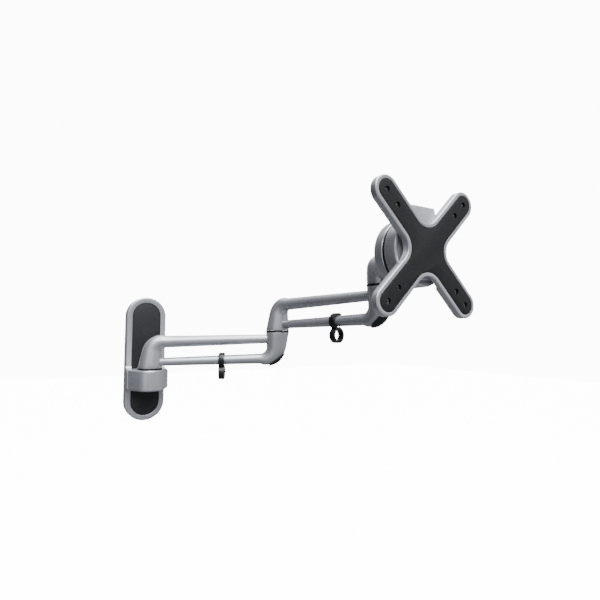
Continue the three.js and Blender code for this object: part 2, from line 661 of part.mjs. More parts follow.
function screenRotator() {
  const bore = BOLT_RADIUS + GAP + 1.6;
  const pocket = BOLT_HEAD_RADIUS + 1;
  const disc = turnedForward([
    [bore, ROTATOR_BACK], [DISC_RADIUS - 0.6, ROTATOR_BACK], [DISC_RADIUS, ROTATOR_BACK + 0.6],
    [DISC_RADIUS, ROTATOR_FRONT - 0.8], [DISC_RADIUS - 0.8, ROTATOR_FRONT],
    [DISC_RADIUS - 3, ROTATOR_FRONT], [DISC_RADIUS - 6, ROTATOR_FRONT - ROTATOR_DISH],
    [pocket, ROTATOR_FRONT - ROTATOR_DISH], [pocket, ROTATOR_FLOOR], [bore, ROTATOR_FLOOR],
    [bore, ROTATOR_BACK],
  ], 0);
  const outline = new THREE.Shape();
  outline.moveTo(-RAIL_HALF_WIDTH, RAIL_BOTTOM);
  outline.lineTo(RAIL_HALF_WIDTH, RAIL_BOTTOM);
  outline.lineTo(RAIL_HALF_WIDTH, RAIL_TOP - RAIL_TAPER);
  outline.lineTo(RAIL_TOP_HALF_WIDTH, RAIL_TOP);
  outline.lineTo(-RAIL_TOP_HALF_WIDTH, RAIL_TOP);
  outline.lineTo(-RAIL_HALF_WIDTH, RAIL_TOP - RAIL_TAPER);
  outline.closePath();
  const rail = slab(outline, ROTATOR_FRONT - ROTATOR_DISH - 1, RAIL_FRONT);
  const access = forwardBar(pocket, ROTATOR_FLOOR, RAIL_FRONT + 1, 0, 0, FINE_SEGMENTS);
  const threads = screwBars(2 + GAP, ROTATOR_FRONT - 6, RAIL_FRONT + 1);
  return cut(join(disc, rail), access, ...threads).translate(0, 0, PLATE_CENTRE_Z);
}

function rotationBolt() {
  const back = HOUSING_BACK + 4;
  const headBack = ROTATOR_FLOOR + 2 * GAP + 1.6;
  const profile = [
    [0, back], [BOLT_RADIUS, back], [BOLT_RADIUS, headBack], [BOLT_HEAD_RADIUS - 0.5, headBack],
    [BOLT_HEAD_RADIUS - 0.5, headBack + 4.5], [0, headBack + 4.5],
  ];
  const socket = new THREE.CylinderGeometry(3.4, 3.4, 3, 6).translate(0, -headBack - 4, PLATE_CENTRE_Z);
  return cut(turnedForward(profile, PLATE_CENTRE_Z, FINE_SEGMENTS), socket);
}

function rotationBush() {
  const inner = BOLT_RADIUS + GAP;
  const profile = ring(inner + 1.3, inner, ROTATOR_FLOOR - ROTATOR_BACK);
  return turnedForward(profile.map(([r, h]) => [r, ROTATOR_BACK + h]), PLATE_CENTRE_Z, FINE_SEGMENTS);
}

function rotationSpring() {
  const inner = BOLT_RADIUS + GAP;
  const outer = BOLT_HEAD_RADIUS;
  const base = ROTATOR_FLOOR + GAP;
  const profile = [[inner, base + 0.8], [outer, base], [outer, base + 0.8], [inner, base + 1.6]];
  return turnedForward([...profile, profile[0]], PLATE_CENTRE_Z, FINE_SEGMENTS);
}

function screwPlaces() {
  const places = [];
  for (const x of [-PLATE_SCREW_X, PLATE_SCREW_X]) {
    for (const z of [-PLATE_SCREW_Z, PLATE_SCREW_Z]) places.push([x, z]);
  }
  return places;
}

function screwBars(radius, f0, f1) {
  return screwPlaces().map(([x, z]) => forwardBar(radius, f0, f1, x, z, SMALL_SEGMENTS));
}

function vesaPlaces() {
  const places = [];
  for (const spread of [PLATE_REACH, INNER_HOLES]) {
    for (const x of [-spread, spread]) {
      for (const z of [-spread, spread]) places.push([x, z]);
    }
  }
  return places;
}

function vesaBars(radius, f0, f1) {
  return vesaPlaces().map(([x, z]) => forwardBar(radius, f0, f1, x, z, SMALL_SEGMENTS));
}

function screenPlate() {
  const back = PLATE_FRONT - PLATE_THICKNESS;
  const seatFloor = PLATE_FRONT - PAD_SEAT;
  const webBack = seatFloor - PLATE_WEB;
  const wall = PLATE_BORDER - 0.3;
  const over = 1;
  const body = slab(crossOutline(PLATE_REACH, PLATE_ARM_RADIUS, PLATE_CROTCH), back, PLATE_FRONT, 0.8);
  const seat = slab(
    crossOutline(PLATE_REACH, PLATE_ARM_RADIUS - PLATE_BORDER, PLATE_CROTCH + PLATE_BORDER),
    seatFloor, PLATE_FRONT + over);
  let hollow = slab(
    crossOutline(PLATE_REACH, PLATE_ARM_RADIUS - wall, PLATE_CROTCH + wall), back - over, webBack);
  hollow = cut(hollow, ...vesaBars(VESA_BOSS, back - 2, webBack + over));
  const slot = box(-RAIL_HALF_WIDTH - GAP, RAIL_HALF_WIDTH + GAP, -webBack, -back + over,
    -PLATE_REACH + 5, PLATE_REACH - 5);
  const holes = vesaBars(VESA_HOLE, back - over, PLATE_FRONT + over);
  const screws = screwBars(2.3, back - over, PLATE_FRONT);
  const solid = cut(body, seat, hollow, slot, ...holes, ...screws);
  return solid.translate(0, 0, PLATE_CENTRE_Z);
}

function screenPad() {
  const floor = PLATE_FRONT - PAD_SEAT + GAP;
  const radius = PLATE_ARM_RADIUS - PLATE_BORDER - GAP;
  const outline = crossOutline(PLATE_REACH, radius, PLATE_CROTCH + PLATE_BORDER + GAP);
  const holes = vesaBars(VESA_HOLE + 0.5, floor - 1, PLATE_FRONT + 1);
  const heads = screwBars(4, floor - 1, floor + 1.2);
  return cut(slab(outline, floor, floor + PAD_THICKNESS), ...holes, ...heads)
    .translate(0, 0, PLATE_CENTRE_Z);
}

function plateScrew([x, z]) {
  const seat = PLATE_FRONT - PAD_SEAT + 0.1;
  return join(
    forwardBar(2, ROTATOR_FRONT - 5, seat + 0.2, x, z, SMALL_SEGMENTS),
    forwardBar(3.6, seat, seat + 1, x, z, SMALL_SEGMENTS),
  ).translate(0, 0, PLATE_CENTRE_Z);
}

// ---------------------------------------------------------------- materials
function finish(color, roughness, metalness) {
  return () => new THREE.MeshStandardMaterial({ color, roughness, metalness });
}
const silver = finish('#a9abb0', 0.38, 0.9);
const black = finish('#1d1d1f', 0.6, 0);
const steel = finish('#b9bbbd', 0.3, 1);
const nylon = finish('#d8d6cf', 0.5, 0);

// ---------------------------------------------------------------- assembly
const group = new THREE.Group();

function add(parent, name, geometry, material) {
  const mesh = new THREE.Mesh(geometry, material());
  mesh.name = name;
  parent.add(mesh);
  return mesh;
}

function pivotGroup(pivot, z, angle = 0) {
  const place = new THREE.Group();
  place.position.set(pivot.x, pivot.y, z);
  place.rotation.z = radians(angle);
  group.add(place);
  return place;
}

function addPivot(name, pivot, z, thread = THREAD_LENGTH) {
  const place = pivotGroup(pivot, z);
  add(place, `${name}_friction_washer`, frictionWasher(), black);
  add(place, `${name}_bush`, pivotBush(), nylon);
  add(place, `${name}_disc_springs`, springStack(), steel);
  add(place, `${name}_pin`, pivotPin(thread), steel);
}

function addArm(name, pivot, foot, angle, clipPlace) {
  const arm = pivotGroup(pivot, foot, angle);
  add(arm, `${name}_upper_casting`, upperCasting(setScrewHole(LOWER_CASTING)), silver);
  add(arm, `${name}_lower_casting`, lowerCasting(setScrewHole(UPPER_CASTING)), silver);
  add(arm, `${name}_corner_cap`, cornerCap(), black);
  add(arm, `${name}_near_set_screw`, setScrew(LOWER_CASTING), steel);
  add(arm, `${name}_far_set_screw`, turnOver(setScrew(UPPER_CASTING)), steel);
  add(arm, `${name}_cable_clip`, cableClip(clipPlace), black);
}

const halfSeat = BRACKET_HEIGHT / 2 - RIM_WIDTH;
add(group, 'wall_bracket', wallBracket(), silver);
add(group, 'wall_cover_upper', wallCover(COLLAR_TOP, halfSeat), black);
add(group, 'wall_cover_lower', wallCover(COLLAR_BOTTOM, -halfSeat), black);
add(group, 'collar_plug', collarPlug(), black);
addPivot('wall_pivot', WALL_PIVOT, COLLAR_TOP);

addArm('inner_arm', WALL_PIVOT, INNER_ARM_FOOT, INNER_ARM_ANGLE, INNER_CLIP_PLACE);
addPivot('elbow_pivot', ELBOW_PIVOT, INNER_ARM_FOOT + ARM_HEIGHT);

addArm('outer_arm', ELBOW_PIVOT, OUTER_ARM_FOOT, OUTER_ARM_ANGLE, OUTER_CLIP_PLACE);
const neckThread = TILT_AXIS_Z - TONGUE_RADIUS - 1 - GAP - NECK_FOOT;
addPivot('head_pivot', HEAD_PIVOT, OUTER_ARM_FOOT + ARM_HEIGHT, neckThread);

const head = pivotGroup(HEAD_PIVOT, 0);
add(head, 'head_neck', headNeck(), silver);
add(head, 'tilt_pin', tiltPin(), steel);
const springFrom = TILT_CHEEK + GAP;
add(head, 'tilt_spring_washer', tiltRing(TILT_HEAD_RADIUS - 0.4, springFrom, springFrom + 0.8), steel);
add(head, 'tilt_nut', tiltRing(TILT_HEAD_RADIUS - 0.2, springFrom + 1.1, TILT_PIN_END, 6), steel);
add(head, 'tilt_cap_left', tiltCap(-1), silver);
add(head, 'tilt_cap_right', tiltCap(1), silver);
add(head, 'head_housing', headHousing(), silver);
add(head, 'rotation_friction_ring', frictionRing(), black);
add(head, 'rotation_bolt', rotationBolt(), steel);
add(head, 'rotation_bush', rotationBush(), nylon);
add(head, 'rotation_spring_washer', rotationSpring(), steel);
add(head, 'screen_rotator', screenRotator(), silver);
add(head, 'screen_plate', screenPlate(), silver);
add(head, 'screen_pad', screenPad(), black);
screwPlaces().forEach((place, i) => add(head, `plate_screw_${i + 1}`, plateScrew(place), steel));

export default group;
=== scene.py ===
# %% [markdown]
# # A full motion wall mount for a flat screen
# The mount is a narrow bracket on the wall, two folding arms, and a head that pans, tilts and
# turns with a cross-shaped screen plate. The castings are silver powder-coated aluminium, and the
# covers, clips, friction discs and pad are black plastic and rubber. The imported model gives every
# place and size; this script makes the fine surfaces over it.

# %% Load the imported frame
import bpy
import bmesh
import json
import math
from mathutils import Matrix, Vector

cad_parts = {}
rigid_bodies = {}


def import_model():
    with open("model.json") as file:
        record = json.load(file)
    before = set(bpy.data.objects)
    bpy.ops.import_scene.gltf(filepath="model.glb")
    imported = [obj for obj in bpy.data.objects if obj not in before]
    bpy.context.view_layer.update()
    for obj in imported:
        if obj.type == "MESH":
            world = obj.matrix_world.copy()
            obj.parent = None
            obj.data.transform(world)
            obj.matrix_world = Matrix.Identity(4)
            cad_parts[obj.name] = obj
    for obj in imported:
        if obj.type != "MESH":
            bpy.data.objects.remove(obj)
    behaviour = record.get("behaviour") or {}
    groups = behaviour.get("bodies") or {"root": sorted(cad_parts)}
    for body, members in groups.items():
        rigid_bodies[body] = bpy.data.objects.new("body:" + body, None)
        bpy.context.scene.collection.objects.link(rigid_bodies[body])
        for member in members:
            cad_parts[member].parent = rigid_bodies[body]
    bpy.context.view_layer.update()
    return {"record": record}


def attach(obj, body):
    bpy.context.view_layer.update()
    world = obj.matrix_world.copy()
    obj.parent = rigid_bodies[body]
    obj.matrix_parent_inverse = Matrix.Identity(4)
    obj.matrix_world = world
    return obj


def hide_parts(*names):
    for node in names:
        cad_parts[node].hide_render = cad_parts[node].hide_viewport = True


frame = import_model()
MM = 0.001

# %% [markdown]
# Every tool works on what is selected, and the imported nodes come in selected. So each step starts
# from nothing selected, adds a primitive, and picks faces or edges by where they are. These few
# helpers do the picking, and take places in millimetres.


# %% Helpers for selecting and shaping
def mm(*values):
    """Millimetres to a vector in metres."""
    return Vector(values) * MM


def fresh():
    """Back to object mode, with nothing selected."""
    if bpy.context.object and bpy.context.object.mode != "OBJECT":
        bpy.ops.object.mode_set(mode="OBJECT")
    bpy.ops.object.select_all(action="DESELECT")


def take(name):
    """Names what was just added, and puts its place into its mesh."""
    piece = bpy.context.object
    piece.name = piece.data.name = name
    bpy.ops.object.transform_apply(location=True, rotation=True, scale=True)
    return piece


def activate(piece):
    fresh()
    piece.select_set(True)
    bpy.context.view_layer.objects.active = piece


def edit(piece, kind):
    """Edit mode, with nothing selected; kind is VERT, EDGE or FACE."""
    activate(piece)
    bpy.ops.object.mode_set(mode="EDIT")
    bpy.ops.mesh.select_mode(type=kind)
    bpy.ops.mesh.select_all(action="DESELECT")


def pick(piece, kind, test):
    """Edit mode, with only the elements selected that pass the test. It gets a vertex's place, an
    edge's two ends, or a face's middle and normal, all places in mm."""
    edit(piece, kind)
    mesh = bmesh.from_edit_mesh(piece.data)
    group = {"VERT": mesh.verts, "EDGE": mesh.edges, "FACE": mesh.faces}[kind]
    for element in group:
        if kind == "VERT":
            chosen = test(element.co / MM)
        elif kind == "EDGE":
            chosen = test(element.verts[0].co / MM, element.verts[1].co / MM)
        else:
            chosen = test(element.calc_center_median() / MM, element.normal)
        if chosen:
            element.select_set(True)
    mesh.select_flush_mode()
    bmesh.update_edit_mesh(piece.data)


def bevel(piece, width, segments, test, profile=0.5):
    """Rounds the edges whose two ends, in mm, pass the test."""
    pick(piece, "EDGE", test)
    bpy.ops.mesh.bevel(offset=width * MM, segments=segments, profile=profile, clamp_overlap=True)
    fresh()


def edit_all(piece):
    """Edit mode, with everything selected."""
    edit(piece, "FACE")
    bpy.ops.mesh.select_all(action="SELECT")


def outward(piece):
    """Merges doubles and makes every face point outwards."""
    edit_all(piece)
    bpy.ops.mesh.remove_doubles(threshold=1e-6)
    bpy.ops.mesh.normals_make_consistent(inside=False)
    fresh()


def clean_flats(piece):
    """Makes one face of each flat side."""
    edit_all(piece)
    bpy.ops.mesh.dissolve_limited(angle_limit=math.radians(0.5))
    fresh()


# %% [markdown]
# Solids are joined and cut by booleans, with the exact solver, since many of their faces touch.
# Most of the cuts are round bores, so one helper drills along a line between two points.


# %% Helpers for joining and cutting
def modify(piece, kind, **settings):
    """Adds a modifier and applies it."""
    activate(piece)
    modifier = piece.modifiers.new(kind.title(), kind)
    for key, value in settings.items():
        setattr(modifier, key, value)
    bpy.ops.object.modifier_apply(modifier=modifier.name)


def combine(piece, tool, how):
    """UNION with a second solid, or DIFFERENCE from it, and the second solid is then removed."""
    modify(piece, "BOOLEAN", operation=how, object=tool, solver="EXACT")
    bpy.data.objects.remove(tool)


def rod(name, radius, start, end, sides=40):
    """A round bar between two points, in mm."""
    fresh()
    start, end = Vector(start), Vector(end)
    way = end - start
    turn = way.to_track_quat("Z", "Y").to_euler()
    bpy.ops.mesh.primitive_cylinder_add(vertices=sides, radius=radius * MM, depth=way.length * MM,
                                        location=(start + end) / 2 * MM, rotation=turn)
    return take(name)


def drill(piece, radius, start, end, sides=40):
    combine(piece, rod("drill", radius, start, end, sides), "DIFFERENCE")


def block(name, low, high):
    """A box between two corners, in mm."""
    fresh()
    low, high = Vector(low), Vector(high)
    bpy.ops.mesh.primitive_cube_add(size=1, location=(low + high) / 2 * MM, scale=(high - low) * MM)
    return take(name)


# %% [markdown]
# A turned part is a ring of points extruded from one height to the next and resized each time,
# just as a lathe's cross slide moves in and out. The same tool bends a casting: each new ring is
# also tilted. With no window transform.rotate turns the other way round, hence its minus sign.


# %% Helpers for turned and bent shapes
def grow_rings(name, rings, sides=64):
    """Rings are (s, h, turn, half, side) in mm and radians: the place along and up, the tilt,
    and the half sizes in the bend's plane and across it."""
    fresh()
    s, h, turn, half, side = rings[0]
    bpy.ops.mesh.primitive_circle_add(vertices=sides, radius=MM, fill_type="NGON")
    piece = take(name)
    edit_all(piece)
    bpy.ops.transform.resize(value=(half, side, 1))
    bpy.ops.transform.translate(value=mm(s, 0, h))
    for before, after in zip(rings, rings[1:]):
        s, h, turn, half, side = after
        middle = mm(before[0], 0, before[1])
        bpy.ops.mesh.extrude_region_move()
        bpy.ops.transform.rotate(value=before[2], orient_axis="Y", center_override=middle)
        bpy.ops.transform.resize(value=(half / before[3], side / before[4], 1), center_override=middle)
        bpy.ops.transform.rotate(value=-turn, orient_axis="Y", center_override=middle)
        bpy.ops.transform.translate(value=mm(s - before[0], 0, h - before[1]))
    fresh()
    outward(piece)
    return piece


def turned(name, profile, sides=96):
    """A solid turned about Z from (radius, height) points."""
    return grow_rings(name, [(0, h, 0, r, r) for r, h in profile], sides)


def turned_ring(name, outer, inner, low, high, sides=96):
    """A flat ring with softened outer edges."""
    piece = turned(name, [(outer, low), (outer, high)], sides)
    bevel(piece, 0.15, 2, lambda a, b: abs(a.z - b.z) < 1e-3)
    drill(piece, inner, (0, 0, low - 1), (0, 0, high + 1), sides)
    return piece


def place(piece, where, turn=(0, 0, 0)):
    """Moves and turns a piece made at the origin, and puts that into its mesh."""
    activate(piece)
    piece.location = Vector(where) * MM
    piece.rotation_euler = [math.radians(a) for a in turn]
    bpy.ops.object.transform_apply(location=True, rotation=True, scale=True)
    return piece


def copy_of(piece, name):
    """A copy with a mesh of its own."""
    activate(piece)
    bpy.ops.object.duplicate(linked=False)
    twin = bpy.context.object
    twin.name = twin.data.name = name
    return twin


def crop(piece, point, normal, keep_inner=True):
    """Cuts with a plane, keeps one side and closes it; the normal points at the outer side."""
    edit_all(piece)
    bpy.ops.mesh.bisect(plane_co=Vector(point) * MM, plane_no=normal, use_fill=True,
                        clear_outer=keep_inner, clear_inner=not keep_inner)
    fresh()


# %% [markdown]
# ## Finishes
# All colours are sRGB hex values, turned to linear by one function, and every pattern's size is
# given in millimetres. One small function adds a node with its settings and links.


# %% Helpers for materials
def colour(hex_value):
    """An sRGB hex string to linear RGBA."""
    parts = [int(hex_value[i:i + 2], 16) / 255 for i in (1, 3, 5)]
    linear = [p / 12.92 if p <= 0.04045 else ((p + 0.055) / 1.055) ** 2.4 for p in parts]
    return (*linear, 1.0)


def per_mm(size):
    """The Scale that makes a pattern's features about this many millimetres."""
    return 1000 / size


def add_node(tree, kind, inputs=None, **settings):
    """Adds a node; an input that is a socket is linked, any other is set."""
    made = tree.nodes.new(kind)
    for key, value in settings.items():
        setattr(made, key, value)
    for key, value in (inputs or {}).items():
        if isinstance(value, bpy.types.NodeSocket):
            tree.links.new(value, made.inputs[key])
        else:
            made.inputs[key].default_value = value
    return made


def new_material(name):
    """A material with an empty tree, and the coordinates of the piece itself."""
    material = bpy.data.materials.new(name)
    material.use_nodes = True
    tree = material.node_tree
    tree.nodes.clear()
    return material, tree, add_node(tree, "ShaderNodeTexCoord").outputs["Object"]


def surface(tree, inputs):
    """The shader; an input is a number or colour of its own, or a pattern that feeds it."""
    shader = add_node(tree, "ShaderNodeBsdfPrincipled", inputs)
    add_node(tree, "ShaderNodeOutputMaterial", {"Surface": shader.outputs["BSDF"]})


def two_tone(tree, pattern, dark, light):
    """Runs from dark to light, both hex values, across the middle of a noise pattern's range."""
    share = add_node(tree, "ShaderNodeMapRange", {"Value": pattern, "From Min": 0.3, "From Max": 0.7})
    tones = {"Factor": share.outputs["Result"], "A": colour(dark), "B": colour(light)}
    return add_node(tree, "ShaderNodeMix", tones, data_type="RGBA").outputs["Result"]


# %% [markdown]
# ### Silver powder coat on die-cast aluminium
# Aluminium flakes lie in a thin clear powder that is baked on. The flakes give a soft metallic
# sheen with a very fine sparkle; the baked powder leaves a faint orange peel, a few millimetres
# wide, that makes reflections soft. The powder covers part of each flake, so the shader is only
# partly metal, under a thin rough coat, and two sizes of noise give the peel and its grit. Real
# flakes are a few hundredths of a millimetre, and are drawn coarser, so that they show.


# %% Silver powder coat
def silver_powder_coat():
    material, tree, spot = new_material("silver_powder_coated_aluminium")
    flake = add_node(tree, "ShaderNodeTexVoronoi", {"Vector": spot, "Scale": per_mm(0.55)})
    tone = add_node(tree, "ShaderNodeTexNoise", {"Vector": spot, "Scale": per_mm(24), "Detail": 4.0})
    peel = add_node(tree, "ShaderNodeTexNoise", {"Vector": spot, "Scale": per_mm(2.2), "Detail": 3.0})
    grit = add_node(tree, "ShaderNodeTexNoise", {"Vector": spot, "Scale": per_mm(0.5), "Detail": 2.0})
    flakes = add_node(tree, "ShaderNodeMix", {"Factor": flake.outputs["Color"], "A": colour("#A5A7AC"),
                                              "B": colour("#B3B5B9")}, data_type="RGBA")
    tones = two_tone(tree, tone.outputs["Fac"], "#9FA2A8", "#B2B4B8")
    mixed = add_node(tree, "ShaderNodeMix", {"Factor": 0.45, "A": flakes.outputs["Result"], "B": tones},
                     data_type="RGBA")
    rough = add_node(tree, "ShaderNodeMapRange", {"Value": tone.outputs["Fac"], "To Min": 0.29,
                                                  "To Max": 0.37})
    wide = add_node(tree, "ShaderNodeBump", {"Height": peel.outputs["Fac"], "Strength": 0.05,
                                             "Distance": 0.4 * MM})
    fine = add_node(tree, "ShaderNodeBump", {"Height": grit.outputs["Fac"], "Strength": 0.05,
                                             "Distance": 0.1 * MM, "Normal": wide.outputs["Normal"]})
    surface(tree, {"Metallic": 0.7, "Coat Weight": 0.12, "Coat Roughness": 0.3,
                   "Base Color": mixed.outputs["Result"], "Roughness": rough.outputs["Result"],
                   "Normal": fine.outputs["Normal"]})
    return material


# %% [markdown]
# ### Black plastics and rubber
# The covers are ABS moulded in a spark-eroded tool, which leaves a fine matte grain. The clips are
# nylon, glossier and plain. The friction discs are smooth acetal. The pad is an elastomer with a
# leather-like grain that keeps a screen from slipping.


# %% Black plastics and rubber
def black_plastic(name, dark, light, grain, depth, roughness):
    """The grain's size and depth are in mm."""
    material, tree, spot = new_material(name)
    cloud = add_node(tree, "ShaderNodeTexNoise", {"Vector": spot, "Scale": per_mm(18), "Detail": 4.0})
    grit = add_node(tree, "ShaderNodeTexNoise", {"Vector": spot, "Scale": per_mm(grain), "Detail": 3.0})
    rough = add_node(tree, "ShaderNodeMapRange", {"Value": grit.outputs["Fac"], "To Min": roughness - 0.08,
                                                  "To Max": roughness + 0.08})
    bump = add_node(tree, "ShaderNodeBump", {"Height": grit.outputs["Fac"], "Strength": 0.5,
                                             "Distance": depth * MM})
    surface(tree, {"Metallic": 0.0, "IOR": 1.5, "Specular IOR Level": 0.35,
                   "Base Color": two_tone(tree, cloud.outputs["Fac"], dark, light),
                   "Roughness": rough.outputs["Result"], "Normal": bump.outputs["Normal"]})
    return material


def grained_rubber():
    material, tree, spot = new_material("grained_rubber_pad")
    cells = add_node(tree, "ShaderNodeTexVoronoi", {"Vector": spot, "Scale": per_mm(1.3)},
                     feature="SMOOTH_F1")
    cloud = add_node(tree, "ShaderNodeTexNoise", {"Vector": spot, "Scale": per_mm(14), "Detail": 4.0})
    rough = add_node(tree, "ShaderNodeMapRange", {"Value": cells.outputs["Distance"], "To Min": 0.6,
                                                  "To Max": 0.78})
    bump = add_node(tree, "ShaderNodeBump", {"Height": cells.outputs["Distance"], "Strength": 0.6,
                                             "Distance": 0.25 * MM})
    surface(tree, {"Metallic": 0.0, "IOR": 1.5, "Specular IOR Level": 0.25,
                   "Base Color": two_tone(tree, cloud.outputs["Fac"], "#101011", "#141414"),
                   "Roughness": rough.outputs["Result"], "Normal": bump.outputs["Normal"]})
    return material


# %% [markdown]
# ### Hidden metals and nylon
# Screws and pins are zinc plated, a bright metal with a slight blue cast. The disc springs are
# hardened steel, darker and a little rougher. The bushes are natural nylon, an off-white that lets
# a little light in.


# %% Fasteners, springs and bushes
def plain_metal(name, dark, light, grain, roughness):
    """The grain's size is in mm."""
    material, tree, spot = new_material(name)
    grit = add_node(tree, "ShaderNodeTexNoise", {"Vector": spot, "Scale": per_mm(grain), "Detail": 5.0})
    rough = add_node(tree, "ShaderNodeMapRange", {"Value": grit.outputs["Fac"], "To Min": roughness - 0.07,
                                                  "To Max": roughness + 0.07})
    surface(tree, {"Metallic": 1.0, "Roughness": rough.outputs["Result"],
                   "Base Color": two_tone(tree, grit.outputs["Fac"], dark, light)})
    return material


def natural_nylon():
    material, tree, spot = new_material("natural_nylon")
    cloud = add_node(tree, "ShaderNodeTexNoise", {"Vector": spot, "Scale": per_mm(6), "Detail": 3.0})
    rough = add_node(tree, "ShaderNodeMapRange", {"Value": cloud.outputs["Fac"], "To Min": 0.4,
                                                  "To Max": 0.5})
    surface(tree, {"Metallic": 0.0, "IOR": 1.53, "Subsurface Weight": 0.15, "Subsurface Scale": 2 * MM,
                   "Base Color": two_tone(tree, cloud.outputs["Fac"], "#D6D2C4", "#E4E1D6"),
                   "Roughness": rough.outputs["Result"]})
    return material


# %% [markdown]
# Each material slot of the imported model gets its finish. The nodes that stay as they are, the pins,
# bushes, screws and springs inside, take it straight away, and each new piece takes it when done.

# %% Finishes by slot
FINISH = {
    "silver_casting": silver_powder_coat(),
    "black_cover": black_plastic("spark_textured_black_ABS", "#151618", "#1B1C1E", 0.7, 0.05, 0.55),
    "black_clip": black_plastic("black_nylon", "#121213", "#19191B", 1.5, 0.02, 0.34),
    "friction_disc": black_plastic("black_acetal", "#0E0E10", "#151517", 1.0, 0.02, 0.4),
    "screen_pad": grained_rubber(),
    "nylon_bush": natural_nylon(),
    "steel_fastener": plain_metal("zinc_plated_steel", "#AEB2B8", "#C6C9CC", 1.2, 0.3),
    "disc_spring": plain_metal("hardened_spring_steel", "#7A7C80", "#96989C", 0.6, 0.36),
}
for row in frame["record"]["subparts"]:
    node_object = bpy.data.objects[row["node"]]
    node_object.data.materials.clear()
    node_object.data.materials.append(FINISH[row["material_slot"]])
print("finishes", sorted(FINISH))


def finish_piece(piece, slot, body, *nodes, angle=35):
    """Shades a piece, gives it its finish and body, and hides the nodes that it stands for."""
    outward(piece)
    activate(piece)
    bpy.ops.object.shade_smooth_by_angle(angle=math.radians(angle))
    piece.data.materials.clear()
    piece.data.materials.append(FINISH[slot])
    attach(piece, body)
    if nodes:
        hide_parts(*nodes)
    print(piece.name, len(piece.data.polygons), "faces")
    return piece


# %% [markdown]
# ## Sizes
# These repeat the part's own sizes in millimetres, measured from the middle of the bracket's back.
# Y points into the wall, so the room is at negative Y.

# %% Sizes
GAP = 0.3
BRACKET_WIDTH, BRACKET_HEIGHT, BRACKET_DEPTH, RIM = 51, 165, 14.4, 7.2
COVER_SEAT = 3
COLLAR_TOP, COLLAR_BOTTOM = -13.1, -39.7
COLLAR_RADIUS, EAR_HALF_WIDTH, EAR_FRONT = 17.2, 26.2, 30
PIVOT_Y = -40.3
PIN, PIN_HEAD, BUSH = 5, 7.2, 7.3
BUSH_LENGTH, SPRING_FLOOR, THREAD = 12, 4, 20
ARM, ARM_HEIGHT, BARREL = 165.4, 46.8, 15.1
INNER_ANGLE, OUTER_ANGLE = -29, -76.5
INNER_FOOT, OUTER_FOOT, NECK_FOOT = -10.9, 38.1, 87.1
TILT_Z, PLATE_Z = 104, 113.8
WALL_PIVOT = (0, PIVOT_Y)


def along(start, angle):
    """The far pivot of an arm."""
    turn = math.radians(angle)
    return (start[0] + ARM * math.cos(turn), start[1] + ARM * math.sin(turn))


ELBOW = along(WALL_PIVOT, INNER_ANGLE)
HEAD = along(ELBOW, OUTER_ANGLE)
print("elbow", ELBOW, "head", HEAD)


# %% [markdown]
# ## The wall bracket
# The bracket's body is a flat bar with round ends. A cylinder laid on its side becomes one when
# its upper half is moved up and its lower half down. The front is inset to leave the silver rim,
# and pushed in for the covers' seats.


# %% A bar with round ends
def round_bar(name, width, low, high, back, front, sides=96):
    """Stands along Z between low and high, and lies between back and front into the room."""
    fresh()
    radius = width / 2
    middle = (low + high) / 2
    bpy.ops.mesh.primitive_cylinder_add(
        vertices=sides, radius=radius * MM, depth=(front - back) * MM,
        location=mm(0, -(front + back) / 2, middle), rotation=(math.pi / 2, math.pi / sides, 0))
    piece = take(name)
    stretch = (high - low) / 2 - radius
    for sign in (1, -1):
        pick(piece, "VERT", lambda v: sign * (v.z - middle) > 0 and abs(v.z - middle) < radius + 0.01)
        bpy.ops.transform.translate(value=mm(0, 0, sign * stretch))
        fresh()
    return piece


half_height = BRACKET_HEIGHT / 2
bracket = round_bar("bracket_casting", BRACKET_WIDTH, -half_height, half_height, 0, BRACKET_DEPTH)
pick(bracket, "FACE", lambda c, n: n.y < -0.9)
bpy.ops.mesh.inset(thickness=RIM * MM)
bpy.ops.mesh.extrude_region_move(TRANSFORM_OT_translate={"value": mm(0, COVER_SEAT, 0)})
fresh()
bevel(bracket, 0.5, 2, lambda a, b: max(a.y, b.y) > -0.01 and abs(a.y - b.y) < 1e-3)


def off_spine(v):
    """Distance in mm from the line that the bar's round ends are drawn about."""
    return math.hypot(v.x, max(abs(v.z) - (BRACKET_HEIGHT - BRACKET_WIDTH) / 2, 0))


def at_front(a, b, depth=BRACKET_DEPTH):
    """Whether both ends of an edge lie this far into the room."""
    return abs(a.y + depth) < 0.01 and abs(b.y + depth) < 0.01


outer_edge, inner_edge = BRACKET_WIDTH / 2, BRACKET_WIDTH / 2 - RIM
bevel(bracket, 1.6, 4, lambda a, b: at_front(a, b) and min(off_spine(a), off_spine(b)) > outer_edge - 0.2)
bevel(bracket, 0.5, 2, lambda a, b: at_front(a, b) and max(off_spine(a), off_spine(b)) < inner_edge + 0.2)

# %% [markdown]
# The back is hollow, as a die casting is, with a round boss behind each screw hole. Each hollow is
# another bar with round ends, cut square at the collar, and the bosses are cut out of it first.

# %% Hollow back and screw holes
UPPER_SCREWS, LOWER_SCREWS = (58, 14), (-58,)
SCREW_HOLE, SCREW_BOSS = 3.4, 7.4
BRACKET_WALL, HOLLOW_DEPTH = 3.2, 8.2
UPPER_HOLLOW_FOOT = 6

